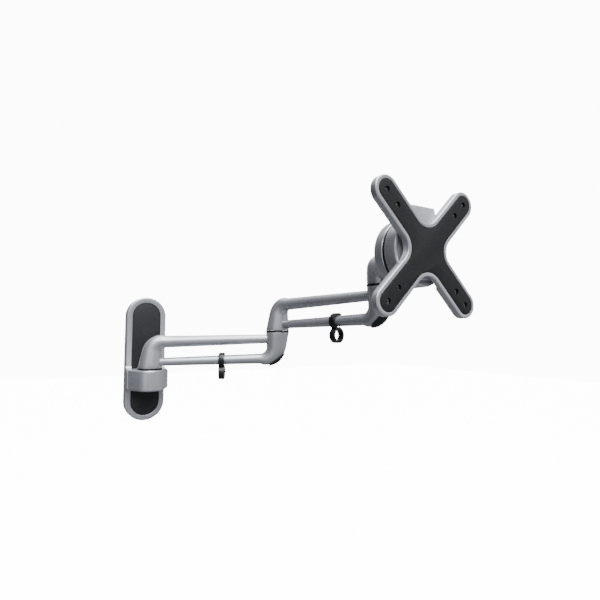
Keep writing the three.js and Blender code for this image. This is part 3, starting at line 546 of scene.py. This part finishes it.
hollow_half = half_height - BRACKET_WALL
for name, screws, square, above in (("upper", UPPER_SCREWS, UPPER_HOLLOW_FOOT, True),
                                    ("lower", LOWER_SCREWS, COLLAR_BOTTOM, False)):
    hollow = round_bar("hollow_" + name, BRACKET_WIDTH - 2 * BRACKET_WALL, -hollow_half, hollow_half,
                       -1, HOLLOW_DEPTH)
    crop(hollow, (0, 0, square), (0, 0, -1 if above else 1))
    for z in screws:
        drill(hollow, SCREW_BOSS, (0, 3, z), (0, -10, z))
    combine(bracket, hollow, "DIFFERENCE")
for z in (*UPPER_SCREWS, *LOWER_SCREWS):
    drill(bracket, SCREW_HOLE, (0, 1, z), (0, -16, z))
print("bracket body", len(bracket.data.polygons), "faces")

# %% [markdown]
# ## The collar
# The collar holds the first pivot. Its flanks run straight from two flat ears and touch its round
# nose, like a skin stretched over a cylinder and a flat bar, so a convex hull makes it. Where the
# collar grows out of the bracket the casting has concave fillets. A fillet is a small block whose
# far edge is bevelled with a hollow profile.


# %% Collar and ears
fresh()
bpy.ops.mesh.primitive_cylinder_add(
    vertices=96, radius=COLLAR_RADIUS * MM, depth=(COLLAR_TOP - COLLAR_BOTTOM) * MM,
    location=mm(0, PIVOT_Y, (COLLAR_TOP + COLLAR_BOTTOM) / 2))
collar = take("collar")
base_half = EAR_HALF_WIDTH - 1
base = block("collar_base", (-base_half, -EAR_FRONT, COLLAR_BOTTOM), (base_half, -12, COLLAR_TOP))
activate(collar)
base.select_set(True)
bpy.ops.object.join()
edit_all(collar)
bpy.ops.mesh.convex_hull()
clean_flats(collar)
bevel(collar, 2.2, 6, lambda a, b: abs(a.z - b.z) < 0.01 and min(a.y, b.y) < -13)
bevel(collar, 1.2, 4, lambda a, b: abs(a.z - b.z) > 5 and abs(a.y + EAR_FRONT) < 0.5)

ears = block("ears", (-EAR_HALF_WIDTH, -EAR_FRONT, COLLAR_BOTTOM), (EAR_HALF_WIDTH, -9.4, COLLAR_TOP))
bevel(ears, 3.5, 6, lambda a, b: abs(a.x - b.x) < 0.01 and abs(a.z - b.z) < 0.01)
bevel(ears, 1.0, 3, lambda a, b: at_front(a, b, EAR_FRONT))
print("collar", len(collar.data.polygons), "ears", len(ears.data.polygons), "faces")


# %% Fillets over and under the collar
def fillet(name, low, high, tip):
    """A block whose front edge at the height of its tip is hollowed."""
    piece = block(name, low, high)
    size = min(h - l for l, h in zip(low, high))
    bevel(piece, size * 0.985, 8, lambda a, b: at_front(a, b, -low[1]) and abs(a.z - tip) < 0.1
          and abs(b.z - tip) < 0.1, profile=0.09)
    return piece


TOP_FILLET, BOTTOM_FILLET, LAP = 5, 4, 0.2
FILLET_SIDES = (18.4, 25.3)
fillets = []
for side in (-1, 1):
    left, right = sorted(side * x for x in FILLET_SIDES)
    top, bottom = COLLAR_TOP + TOP_FILLET, COLLAR_BOTTOM - BOTTOM_FILLET
    fillets.append(fillet("top_fillet", (left, -BRACKET_DEPTH - TOP_FILLET, COLLAR_TOP - LAP),
                          (right, -BRACKET_DEPTH + GAP, top), top))
    fillets.append(fillet("bottom_fillet", (left, -BRACKET_DEPTH - BOTTOM_FILLET, bottom),
                          (right, -BRACKET_DEPTH + GAP, COLLAR_BOTTOM + LAP), bottom))
for piece in (collar, ears, *fillets):
    combine(bracket, piece, "UNION")

# %% [markdown]
# The first pivot's pin comes up through the collar. From the top down there are the bush's seat, a
# clear bore through the floor that the disc springs press on, and a wide bore for the pin's head.

# %% Bores of the first pivot
bush_bottom = COLLAR_TOP - 2 * GAP - BUSH_LENGTH
floor_bottom = bush_bottom - SPRING_FLOOR
PIN_BORE = PIN + GAP + 0.4
drill(bracket, BUSH + GAP, (0, PIVOT_Y, bush_bottom), (0, PIVOT_Y, COLLAR_TOP + 1))
drill(bracket, PIN_BORE, (0, PIVOT_Y, floor_bottom - 1), (0, PIVOT_Y, bush_bottom + 1))
drill(bracket, PIN_HEAD + 1, (0, PIVOT_Y, COLLAR_BOTTOM - 1), (0, PIVOT_Y, floor_bottom))
finish_piece(bracket, "silver_casting", "bracket", "wall_bracket", angle=32)

# %% [markdown]
# ## The bracket's covers
# Two ABS plates drop into the seats and hide the wall screws. Each is the same bar with round
# ends, cut square where it meets the collar, with a soft front edge.

# %% Covers
COVER_FRONT = BRACKET_DEPTH - 0.5
cover = round_bar("wall_cover", BRACKET_WIDTH - 2 * RIM - 2 * GAP, -half_height + RIM + GAP,
                  half_height - RIM - GAP, BRACKET_DEPTH - COVER_SEAT + GAP, COVER_FRONT)
for name, square, above in (("upper", COLLAR_TOP + GAP, True), ("lower", COLLAR_BOTTOM - GAP, False)):
    half = copy_of(cover, "cover_plate_" + name)
    crop(half, (0, 0, square), (0, 0, -1 if above else 1))
    bevel(half, 0.6, 3, lambda a, b: at_front(a, b, COVER_FRONT))
    finish_piece(half, "black_cover", "bracket", "wall_cover_" + name)
bpy.data.objects.remove(cover)

# %% [markdown]
# ## The arms' castings
# Each arm is two L-shaped castings. A barrel leans over into a long tapering rod, and the rod's
# end stands in the other casting's barrel. The barrel starts as a circle, which is extruded up,
# turned step by step round the bend, and drawn out into the rod. The upper casting is fuller than
# the lower one. The lower one is the same kind of piece, turned end over end.

# %% Sizes of the two castings, measured from a barrel's foot
UPPER = {"inside": 14.2, "outside": 10.6, "fillet": 5.5, "low": 26.3, "high": 41.7,
         "bend_side": 12.4, "rod_side": 8.0, "tip": 38.2, "tip_half": 5.8, "tip_side": 5.6}
LOWER = {"inside": 14.3, "outside": 11.7, "fillet": 8.5, "low": 27.9, "high": 41.1,
         "bend_side": 12.4, "rod_side": 7.2, "tip": 39.0, "tip_half": 5.2, "tip_side": 5.4}
ROD_STOP = 9.2  # the far pivot to the rod's end
SQUARER = 0.5  # the outer corner of each bend stands this much outside an even curve
BARREL_STEPS, BEND_STEPS, ROD_STEPS = 4, 18, 6
CAP_HEEL, CAP_FOOT = (-10.2, 0, 27.4), (7.6, 0, 41.2)
CAP_SLOPE = math.atan2(CAP_FOOT[2] - CAP_HEEL[2], CAP_FOOT[0] - CAP_HEEL[0])
CAP_NORMAL = (-math.sin(CAP_SLOPE), 0, math.cos(CAP_SLOPE))


def mix(a, b, share):
    return a + (b - a) * share


def casting_rings(spec, bulge=0, proud=0):
    """The rings from the barrel's foot, round the bend and along the rod; a cap bulges at the
    corner and stands a little proud at its sides."""
    s0 = spec["inside"] + spec["fillet"]
    h0 = spec["low"] - spec["fillet"]
    foot, top = s0 + spec["outside"], spec["high"] - h0
    bend = []
    for i in range(BEND_STEPS + 1):
        share = i / BEND_STEPS
        turn = share * math.pi / 2
        outer = mix(foot, top, share) + (bulge + SQUARER) * math.sin(2 * turn)
        middle = (spec["fillet"] + outer) / 2
        bend.append((s0 - middle * math.cos(turn), h0 + middle * math.sin(turn), turn,
                     (outer - spec["fillet"]) / 2, mix(spec["bend_side"], spec["rod_side"], share) + proud))
    start, end = (0, 0, 0, BARREL, BARREL), rod_end(spec)
    barrel = [tuple(mix(a, b, i / BARREL_STEPS) for a, b in zip(start, bend[0]))
              for i in range(BARREL_STEPS)]
    rod_part = [tuple(mix(a, b, (i + 1) / ROD_STEPS) for a, b in zip(bend[-1], end))
                for i in range(ROD_STEPS)]
    return barrel + bend + rod_part


def rod_end(spec):
    return (ARM - ROD_STOP, spec["tip"], math.pi / 2, spec["tip_half"], spec["tip_side"])


# %% [markdown]
# A pin screws up into the foot of each upper casting. The lower casting turns on the pin, so it has
# the bush's seat, the springs' floor and the bore for the pin's head, under the corner cap. A set
# screw in the far side of each barrel, which the room doesn't see, bears on the other rod's end.

# %% The two castings and the corner cap
SET_SCREW = 2
CAP_PROUD, CAP_SUNK, CAP_BULGE = 0.25, 0.4, 2.0


def screw_hole(casting, other):
    """The hole for the set screw that bears on the other casting's rod."""
    s, h = ROD_STOP + 2.6, ARM_HEIGHT - other["tip"]
    drill(casting, SET_SCREW + GAP, (s, 0, h), (s, BARREL + 1, h), 24)


upper = grow_rings("upper_casting", casting_rings(UPPER))
bevel(upper, 0.4, 2, lambda a, b: max(a.z, b.z) < 0.01)
drill(upper, PIN + GAP, (0, 0, -1), (0, 0, THREAD + 1))
screw_hole(upper, LOWER)

lower = grow_rings("lower_casting", casting_rings(LOWER))
bevel(lower, 0.4, 2, lambda a, b: max(a.z, b.z) < 0.01)
crop(lower, CAP_HEEL, CAP_NORMAL)
bush_end = BUSH_LENGTH + 2 * GAP
floor_end = bush_end + SPRING_FLOOR
drill(lower, BUSH + GAP, (0, 0, -1), (0, 0, bush_end))
drill(lower, PIN_BORE, (0, 0, bush_end - 1), (0, 0, floor_end + 1))
drill(lower, PIN_HEAD + GAP, (0, 0, floor_end), (0, 0, CAP_HEEL[2] - 0.4))
screw_hole(lower, UPPER)

cap = grow_rings("corner_cap", casting_rings(LOWER, CAP_BULGE, CAP_PROUD))
crop(cap, Vector(CAP_HEEL) - Vector(CAP_NORMAL) * CAP_SUNK, CAP_NORMAL, keep_inner=False)
print("castings", len(upper.data.polygons), len(lower.data.polygons), "cap", len(cap.data.polygons))

# %% [markdown]
# ## The cable clips
# A clip is one nylon moulding: a hook that snaps over the lower rod from the room side, and a
# split ring under it that the screen's cables are pressed into. Both are a small rectangle spun
# round the rod's middle or the ring's.

# %% Cable clip
CLIP_WIDTH, CLIP_WALL, RING_RADIUS, RING_SPLIT = 7, 2.8, 9.2, 3
CLIP_BITE = 0.2  # the ring's top lies this far below the hook's inside, so that the two join
INNER_CLIP_AT, OUTER_CLIP_AT = 93, 103


def spun_strip(name, radius, middle, start, sweep, steps):
    """A strip of the clip's section, spun about a line along X at the middle height, in mm. Its
    angles are in degrees, 0 towards the room and 90 upwards."""
    fresh()
    here = mm(0, -(radius - CLIP_WALL / 2), middle)
    bpy.ops.mesh.primitive_plane_add(size=1, location=here)
    piece = take(name)
    edit_all(piece)
    bpy.ops.transform.resize(value=(CLIP_WIDTH * MM, CLIP_WALL * MM, 1), center_override=here)
    bpy.ops.transform.rotate(value=math.radians(start), orient_axis="X", center_override=mm(0, 0, middle))
    bpy.ops.mesh.spin(steps=steps, angle=math.radians(sweep), center=mm(0, 0, middle), axis=(1, 0, 0))
    fresh()
    outward(piece)
    return piece


def cable_clip(name, at):
    """The clip for the place where the lower rod is this far from the arm's first pivot."""
    root, end = casting_rings(LOWER)[BARREL_STEPS + BEND_STEPS], rod_end(LOWER)
    share = (ARM - at - root[0]) / (end[0] - root[0])
    height = ARM_HEIGHT - mix(root[1], end[1], share)
    tall = mix(root[3], end[3], share) + 2 * GAP
    wide = mix(root[4], end[4], share) + 2 * GAP
    hook = spun_strip(name, wide + CLIP_WALL, 0, -110, 230, 28)
    edit_all(hook)
    taller = (tall + CLIP_WALL) / (wide + CLIP_WALL)
    bpy.ops.transform.resize(value=(1, 1, taller), center_override=(0, 0, 0))
    fresh()
    split = math.degrees(math.asin(RING_SPLIT / 2 / RING_RADIUS))
    loop = spun_strip("loop", RING_RADIUS, -tall - RING_RADIUS - CLIP_BITE, -90 + split, 360 - 2 * split, 48)
    combine(hook, loop, "UNION")
    modify(hook, "BEVEL", width=0.45 * MM, segments=2, limit_method="ANGLE", angle_limit=math.radians(50))
    print(name, len(hook.data.polygons), "faces")
    return place(hook, (at, 0, height))


inner_clip = cable_clip("inner_clip", INNER_CLIP_AT)
outer_clip = cable_clip("outer_clip", OUTER_CLIP_AT)

# %% [markdown]
# ## Both arms
# The finished castings, cap and clip are copied to each arm's place. Every copy has its own mesh.

# %% Put the arms together
for name, pivot, foot, angle, clip in (("inner_arm", WALL_PIVOT, INNER_FOOT, INNER_ANGLE, inner_clip),
                                       ("outer_arm", ELBOW, OUTER_FOOT, OUTER_ANGLE, outer_clip)):
    far = along(pivot, angle)
    for model, part, where, turn, slot in (
            (upper, "upper_casting", (*pivot, foot), (0, 0, angle), "silver_casting"),
            (lower, "lower_casting", (*far, foot + ARM_HEIGHT), (0, 180, angle), "silver_casting"),
            (cap, "corner_cap", (*far, foot + ARM_HEIGHT), (0, 180, angle), "black_cover"),
            (clip, "cable_clip", (*pivot, foot), (0, 0, angle), "black_clip")):
        piece = place(copy_of(model, f"{name}_{part}_finished"), where, turn)
        finish_piece(piece, slot, name, f"{name}_{part}", angle=38)
for model in (upper, lower, cap, inner_clip, outer_clip):
    bpy.data.objects.remove(model)

# %% [markdown]
# ## Friction discs
# A black acetal disc lies in each pivot, and shows as a thin dark line round the barrels. The
# barrels press on it, so it fills the space between them.

# %% Friction discs of the upright pivots
DISC_PROUD, DISC_LOW, DISC_HIGH = 0.15, 0.03, 2.17
for name, body, pivot, z in (("wall_pivot", "bracket", WALL_PIVOT, COLLAR_TOP),
                             ("elbow_pivot", "inner_arm", ELBOW, INNER_FOOT + ARM_HEIGHT),
                             ("head_pivot", "outer_arm", HEAD, OUTER_FOOT + ARM_HEIGHT)):
    disc = turned_ring(name + "_disc", BARREL + DISC_PROUD, PIN + GAP, DISC_LOW, DISC_HIGH)
    place(disc, (*pivot, z))
    finish_piece(disc, "friction_disc", body, name + "_friction_washer")

# %% [markdown]
# ## The head's neck
# The neck is a short barrel that ends in a ball. A slot in its room side takes the tongue of the
# round housing, and the tilt pin runs through both. Caps close the pin's ends and are ground flush
# with the ball before it is coated, so the finished neck shows no joint there.

# %% Neck
BALL = 15
TONGUE_HALF, TONGUE_RADIUS, TILT_PIN = 5.5, 8, 4
SLOT_HALF, SLOT_RISE = TONGUE_HALF + GAP, TONGUE_RADIUS + 0.7


def arc(radius, first, last, step=6):
    """Points (radius out, height) along a ball's side, between two angles in degrees."""
    turns = [math.radians(a) for a in range(first, last, step)]
    return [(radius * math.cos(t), radius * math.sin(t)) for t in turns]


dome = [(r, TILT_Z + h) for r, h in arc(BALL, 0, 88)]
neck = turned("neck", [(BARREL, NECK_FOOT), (BARREL, TILT_Z - 2), *dome, (0.4, TILT_Z + BALL)])
bevel(neck, 0.5, 2, lambda a, b: max(a.z, b.z) < NECK_FOOT + 0.01)
combine(neck, block("slot", (-SLOT_HALF, -BALL - 1, TILT_Z - SLOT_RISE), (SLOT_HALF, 0, TILT_Z + SLOT_RISE)),
        "DIFFERENCE")
drill(neck, TONGUE_RADIUS + 0.5, (-SLOT_HALF, 0, TILT_Z), (SLOT_HALF, 0, TILT_Z))
drill(neck, PIN + GAP, (0, 0, NECK_FOOT - 1), (0, 0, TILT_Z - 9))
drill(neck, TILT_PIN + GAP, (-13, 0, TILT_Z), (13, 0, TILT_Z))
place(neck, (*HEAD, 0))
finish_piece(neck, "silver_casting", "head_swivel", "head_neck", "tilt_cap_left", "tilt_cap_right")

# %% [markdown]
# ## The round housing, ring and rotator
# The housing is a turned cup with a rounded back, carried by a saddle that is hollowed to clear
# the ball. A black ring parts it from the rotator, which turns with the screen. Each is turned
# about Z and then laid over so that its axis points into the room.

# %% Housing
DISC = 34.5
HOUSING_BACK, HOUSING_FRONT = 26.7, 40.7
ROTATOR_BACK, ROTATOR_FRONT, RAIL_FRONT = 43.7, 58.4, 61.5
BOLT, BOLT_BOSS = 5, 9.3
BOWL = DISC - 3.5

back = [(14, 24.2), (18, 24.6), (22, 25.2), (26, 26.1), (29, 26.8), (31, 27.3), (32.5, 27.9), (33.5, 28.6),
        (34.2, 29.5), (DISC, 30.6)]
housing = turned("round_housing", [*back, (DISC, HOUSING_FRONT - 0.6), (DISC - 0.6, HOUSING_FRONT)], 128)
bowl = turned("bowl", [(24, HOUSING_BACK + 5), (BOWL, HOUSING_BACK + 8), (BOWL, HOUSING_FRONT + 1)])
boss = turned("boss", [(BOLT_BOSS, HOUSING_BACK), (BOLT_BOSS, HOUSING_FRONT + 2)], 48)
combine(bowl, boss, "DIFFERENCE")
combine(housing, bowl, "DIFFERENCE")
print("housing", len(housing.data.polygons), "faces")

# %% [markdown]
# The saddle behind the housing wraps round the ball. Its inside is a ball a little larger than the
# neck's, opened by cuts at nine angles of tilt, so that it clears the neck wherever it is tilted.
# The work is done about the tilt axis, and the whole is then put in its place.

# %% Saddle, tongue and friction ring
BALL_ROOM, SADDLE_ROOM = 15.5, 15.6
TILT_SWEEP, TILT_CUTS = 13, 9

place(housing, (0, 0, PLATE_Z - TILT_Z), (90, 0, 0))
saddle = turned("saddle", [(15.6, 5), (16.3, 7.5), (17.2, 12), (18.2, 17), (19.4, 22), (21, 27.7)])
place(saddle, (0, 0, 0), (90, 0, 0))
combine(housing, saddle, "UNION")
ball_room = turned("ball_room", [(0.4, -BALL_ROOM), *arc(BALL_ROOM, -84, 88), (0.4, BALL_ROOM)])
combine(housing, ball_room, "DIFFERENCE")
for cut in range(TILT_CUTS):
    lean = math.radians(TILT_SWEEP * (2 * cut / (TILT_CUTS - 1) - 1))
    drill(housing, SADDLE_ROOM, (0, 0, 0), (0, 32 * math.sin(lean), -32 * math.cos(lean)), 72)
tongue = rod("tongue", TONGUE_RADIUS, (-TONGUE_HALF, 0, 0), (TONGUE_HALF, 0, 0), 48)
combine(tongue, block("tongue_root", (-TONGUE_HALF, -28, -5), (TONGUE_HALF, 0, 5)), "UNION")
combine(housing, tongue, "UNION")
drill(housing, TILT_PIN + GAP, (-7, 0, 0), (7, 0, 0))
place(housing, (0, 0, TILT_Z - PLATE_Z))
drill(housing, BOLT + GAP, (0, -HOUSING_BACK - 3, 0), (0, -HOUSING_FRONT - 2, 0))
place(housing, (*HEAD, PLATE_Z))
finish_piece(housing, "silver_casting", "head_tilt", "head_housing", angle=32)

ring = turned_ring("rotation_ring", DISC - 0.6, 13.3, HOUSING_FRONT + DISC_LOW, ROTATOR_BACK - DISC_LOW, 128)
place(ring, (*HEAD, PLATE_Z), (90, 0, 0))
finish_piece(ring, "friction_disc", "head_tilt", "rotation_friction_ring")

# %% [markdown]
# The rotator's front is dished, with a raised rim, and a flat rail stands across it. The rail's
# top end is narrowed and shows above the screen plate, which is screwed onto it from in front. The
# narrow top is made by extruding the rail's end face in place, making it smaller, and lowering the
# two corners that stay wide.

# %% Rotator and rail
RAIL_HALF, RAIL_TOP_HALF = 17, 14.6
RAIL_BOTTOM, RAIL_TOP, RAIL_TAPER = -28, 42.6, 8
BOLT_HEAD_ROOM, ROTATOR_BUSH = 9.5, 6.9
PLATE_SCREW = 2
PLATE_SCREWS = [(x, z) for x in (-12.5, 12.5) for z in (-19, 19)]

rotator = turned("rotator", [
    (DISC - 0.6, ROTATOR_BACK), (DISC, ROTATOR_BACK + 0.6), (DISC, ROTATOR_FRONT - 1.2),
    (DISC - 0.4, ROTATOR_FRONT - 0.4), (DISC - 1.2, ROTATOR_FRONT), (DISC - 2.6, ROTATOR_FRONT),
    (DISC - 3.4, ROTATOR_FRONT - 0.3), (DISC - 4.6, ROTATOR_FRONT - 0.9),
    (DISC - 6.2, ROTATOR_FRONT - 1.2)], 128)
place(rotator, (0, 0, 0), (90, 0, 0))
rail = block("rail", (-RAIL_HALF, -RAIL_FRONT, RAIL_BOTTOM), (RAIL_HALF, -ROTATOR_FRONT + 2.2, RAIL_TOP))
pick(rail, "FACE", lambda c, n: n.z > 0.9)
bpy.ops.mesh.extrude_region_move(TRANSFORM_OT_translate={"value": (0, 0, 0)})
bpy.ops.transform.resize(value=(RAIL_TOP_HALF / RAIL_HALF, 1, 1), center_override=mm(0, 0, RAIL_TOP))
fresh()
pick(rail, "VERT", lambda v: abs(v.x) > RAIL_HALF - 1 and v.z > RAIL_TOP - 0.6)
bpy.ops.transform.translate(value=mm(0, 0, -RAIL_TAPER))
fresh()
outward(rail)
clean_flats(rail)


def at_rail_top(a, b):
    """The edges round the narrow top, without those that run in depth at its wide corners."""
    wide_corner = abs(a.y - b.y) > 1 and max(a.z, b.z) < 36
    return min(a.z, b.z) > 30 and not wide_corner


bevel(rail, 0.35, 2, at_rail_top)
combine(rotator, rail, "UNION")
drill(rotator, BOLT_HEAD_ROOM, (0, -ROTATOR_BACK - 6, 0), (0, -RAIL_FRONT - 1, 0))
drill(rotator, ROTATOR_BUSH, (0, -ROTATOR_BACK + 1, 0), (0, -ROTATOR_BACK - 7, 0))
for x, z in PLATE_SCREWS:
    drill(rotator, PLATE_SCREW + GAP, (x, -ROTATOR_FRONT + 6, z), (x, -RAIL_FRONT - 1, z), 20)
place(rotator, (*HEAD, PLATE_Z))
finish_piece(rotator, "silver_casting", "screen_carrier", "screen_rotator", angle=32)

# %% [markdown]
# ## The screen plate
# The plate is a cross on the diagonals of the 100 mm hole square. Two bars with round ends are
# crossed and joined, and the four sharp corners between them are bevelled into round crotches.
# The same cross, drawn in all round, cuts the pad's seat into the front and the hollow into the
# back, and shapes the pad itself.

# %% A cross with round ends
REACH, INNER_HOLES = 50, 37.5
PLATE_ARM, PLATE_CROTCH, PLATE_BORDER = 13.5, 14.5, 3.7


def cross(name, inset, back, front):
    """The plate's outline drawn in by the inset, between two depths."""
    half_width, crotch = PLATE_ARM - inset, PLATE_CROTCH + inset
    arms = []
    for turn in (45, -45):
        end = REACH * math.sqrt(2) + half_width
        arm = round_bar(name, 2 * half_width, -end, end, back, front, 64)
        arms.append(place(arm, (0, 0, 0), (0, turn, 0)))
    piece, other = arms
    combine(piece, other, "UNION")
    clean_flats(piece)
    inner = half_width * math.sqrt(2) + 0.5
    bevel(piece, crotch, 12, lambda a, b: math.hypot(a.x - b.x, a.z - b.z) < 0.05
          and math.hypot(a.x, a.z) < inner)
    return piece


# %% [markdown]
# The hollow back keeps a boss round each screen hole and a web behind the seat. A slot across it
# takes the rotator's rail, and four screws hold the plate to the rail.

# %% The plate with its seat, hollow back and holes
PLATE_BACK, PLATE_FRONT, PAD_SEAT = 59.2, 66.7, 2.7
PLATE_WALL, PLATE_WEB = 3.4, 2.2
SCREEN_HOLE, SCREEN_BOSS = 2.3, 5
SLOT_REACH = 45
SCREEN_HOLES = [(x, z) for half in (REACH, INNER_HOLES) for x in (-half, half) for z in (-half, half)]

plate = cross("screen_plate_casting", 0, PLATE_BACK, PLATE_FRONT)
bevel(plate, 0.5, 2, lambda a, b: at_front(a, b, PLATE_BACK))
bevel(plate, 1.2, 4, lambda a, b: at_front(a, b, PLATE_FRONT))
seat = cross("seat", PLATE_BORDER, PLATE_FRONT - PAD_SEAT, PLATE_FRONT + 1)
combine(plate, seat, "DIFFERENCE")
bevel(plate, 0.3, 2, lambda a, b: at_front(a, b, PLATE_FRONT))
hollow = cross("plate_hollow", PLATE_WALL, PLATE_BACK - 1, PLATE_FRONT - PAD_SEAT - PLATE_WEB)
for x, z in SCREEN_HOLES:
    drill(hollow, SCREEN_BOSS, (x, -PLATE_BACK + 3, z), (x, -PLATE_FRONT, z), 32)
combine(plate, hollow, "DIFFERENCE")
slot = block("rail_slot", (-RAIL_HALF - GAP, -RAIL_FRONT - GAP, -SLOT_REACH),
             (RAIL_HALF + GAP, -PLATE_BACK + 1, SLOT_REACH))
combine(plate, slot, "DIFFERENCE")
for x, z in SCREEN_HOLES:
    drill(plate, SCREEN_HOLE, (x, -PLATE_BACK + 1, z), (x, -PLATE_FRONT - 1, z), 32)
for x, z in PLATE_SCREWS:
    drill(plate, PLATE_SCREW + GAP, (x, -PLATE_BACK + 1, z), (x, -PLATE_FRONT, z), 20)
place(plate, (*HEAD, PLATE_Z))
finish_piece(plate, "silver_casting", "screen_carrier", "screen_plate", angle=32)

# %% [markdown]
# The pad is a sheet of grained rubber, die cut to the seat, with a slightly rounded front edge, a
# clearance hole over each screen screw, and room in its back for the heads of the plate's screws.

# %% Rubber pad
PAD_THICKNESS, PAD_HOLE, SCREW_HEAD_ROOM = 2.6, 2.8, 4
pad_back = PLATE_FRONT - PAD_SEAT + GAP
pad_front = pad_back + PAD_THICKNESS
pad = cross("rubber_pad", PLATE_BORDER + GAP, pad_back, pad_front)
bevel(pad, 0.6, 3, lambda a, b: at_front(a, b, pad_front))
for x, z in SCREEN_HOLES:
    drill(pad, PAD_HOLE, (x, -pad_back + 1, z), (x, -PLATE_FRONT - 1, z), 32)
for x, z in PLATE_SCREWS:
    drill(pad, SCREW_HEAD_ROOM, (x, -pad_back + 1, z), (x, -pad_back - 1.2, z), 24)
place(pad, (*HEAD, PLATE_Z))
finish_piece(pad, "screen_pad", "screen_carrier", "screen_pad")

# %% [markdown]
# ## The studio
# A plain white floor lies under the mount, and white surroundings meet it without an edge, as a
# paper sweep does. Both shine strongly enough for the camera's view transform to show them white,
# and the mount isn't lit by the floor and doesn't reflect it.

# %% Floor
PAPER_WHITE = 12.0
fresh()
bpy.ops.mesh.primitive_plane_add(size=8, location=(0, 0, -0.4))
studio_floor = take("studio_floor")
floor_material, tree, spot = new_material("matte_white_floor")
dust = add_node(tree, "ShaderNodeTexNoise", {"Vector": spot, "Scale": 3.0})
surface(tree, {"Roughness": 0.9, "Emission Color": colour("#FFFFFF"), "Emission Strength": PAPER_WHITE,
               "Base Color": two_tone(tree, dust.outputs["Fac"], "#FAFAFA", "#FCFCFC")})
studio_floor.data.materials.append(floor_material)
studio_floor.visible_glossy = False
studio_floor.visible_diffuse = False
print("floor", tuple(studio_floor.dimensions))

# %% [markdown]
# Three soft lamps give the mount its light and shade: a wide one overhead, and two weak ones in
# front of it, to the right and to the left.


# %% Lamps
def soft_light(name, where, size, power):
    """A rectangular lamp that points at the middle of the mount."""
    data = bpy.data.lights.new(name, "AREA")
    data.shape = "RECTANGLE"
    data.size, data.size_y = size
    data.energy = power
    light = bpy.data.objects.new(name, data)
    bpy.context.scene.collection.objects.link(light)
    light.location = where
    light.rotation_euler = (Vector(MOUNT_MIDDLE) - Vector(where)).to_track_quat("-Z", "Y").to_euler()
    print("lamp", name, power, "W")


MOUNT_MIDDLE = (0.1, -0.2, 0.03)
soft_light("overhead", (0.3, -0.2, 1.2), (1.3, 1.1), 15)
soft_light("right", (1.3, -0.9, 0.5), (0.5, 1.0), 1.5)
soft_light("left front", (-1.1, -1.0, 0.1), (0.5, 0.8), 1.0)

# %% [markdown]
# What the silver reflects is set apart from what the camera sees: bright above, a white board on
# the right, mid grey in front and below, and a black board on the left, with one strong lamp high
# in front. The edges between them draw the highlights and the dark sides on the round castings.

# %% Surroundings
world = bpy.data.worlds.new("studio")
bpy.context.scene.world = world
world.use_nodes = True
tree = world.node_tree
tree.nodes.clear()
direction = add_node(tree, "ShaderNodeTexCoord").outputs["Generated"]


def facing(axis, edge, soft):
    """0 behind the edge and 1 in front of it, for surroundings that lie along the axis."""
    toward = add_node(tree, "ShaderNodeVectorMath", {0: direction, 1: Vector(axis).normalized()},
                      operation="DOT_PRODUCT").outputs["Value"]
    limits = {"Value": toward, "From Min": edge - soft, "From Max": edge + soft}
    return add_node(tree, "ShaderNodeMapRange", limits, interpolation_type="SMOOTHSTEP").outputs["Result"]


SURROUNDINGS = (  # colour, axis, and the edge and its softness as cosines of the angle to the axis
    (colour("#C4C5C8"), (1, 0.1, 0.1), 0.7, 0.15),  # white board
    (colour("#9A9CA0"), (0, 0, -1), 0.5, 0.25),  # grey below
    ((1.5, 1.53, 1.6, 1), (0, 0, 1), 0.62, 0.12),  # bright ceiling
    (colour("#2E3034"), (-1, 0.55, 0.15), 0.66, 0.24),  # black board
    ((9.0, 9.2, 9.6, 1), (-0.15, -0.55, 0.83), 0.85, 0.06),  # strong lamp
)
room = colour("#AEAFB3")
for shade, axis, edge, soft in SURROUNDINGS:
    layers = {"Factor": facing(axis, edge, soft), "A": room, "B": shade}
    room = add_node(tree, "ShaderNodeMix", layers, data_type="RGBA").outputs["Result"]
seen = add_node(tree, "ShaderNodeBackground", {"Color": colour("#FFFFFF"), "Strength": PAPER_WHITE})
lit = add_node(tree, "ShaderNodeBackground", {"Color": room, "Strength": 1.0})
ray = add_node(tree, "ShaderNodeLightPath").outputs["Is Camera Ray"]
both = add_node(tree, "ShaderNodeMixShader", {0: ray, 1: lit.outputs["Background"],
                                              2: seen.outputs["Background"]})
add_node(tree, "ShaderNodeOutputWorld", {"Surface": both.outputs["Shader"]})
print("surroundings", len(SURROUNDINGS))

# %% [markdown]
# ## The camera
# The camera stands in front and to the left, a little above the bracket's middle, and looks
# slightly up, with a lens a little wider than normal. Its rotation is a turn about the upright, then
# a rise, then a very small lean.

# %% Camera
LENS, SENSOR = 26.7414, 36
YAW, PITCH, ROLL = 30.7905, 3.9402, -0.1495

camera_data = bpy.data.cameras.new("camera")
camera_data.sensor_width = SENSOR
camera_data.lens = LENS
camera = bpy.data.objects.new("camera", camera_data)
bpy.context.scene.collection.objects.link(camera)
camera.location = mm(-131.56, -641.66, 37.95)
camera.rotation_mode = "XYZ"
turns = ((-YAW, "Z"), (90 + PITCH, "X"), (-ROLL, "Z"))
look = Matrix.Identity(3)
for angle, axis in turns:
    look = look @ Matrix.Rotation(math.radians(angle), 3, axis)
camera.rotation_euler = look.to_euler()
bpy.context.scene.camera = camera
print("camera", tuple(camera.location), "lens", camera_data.lens, "mm")
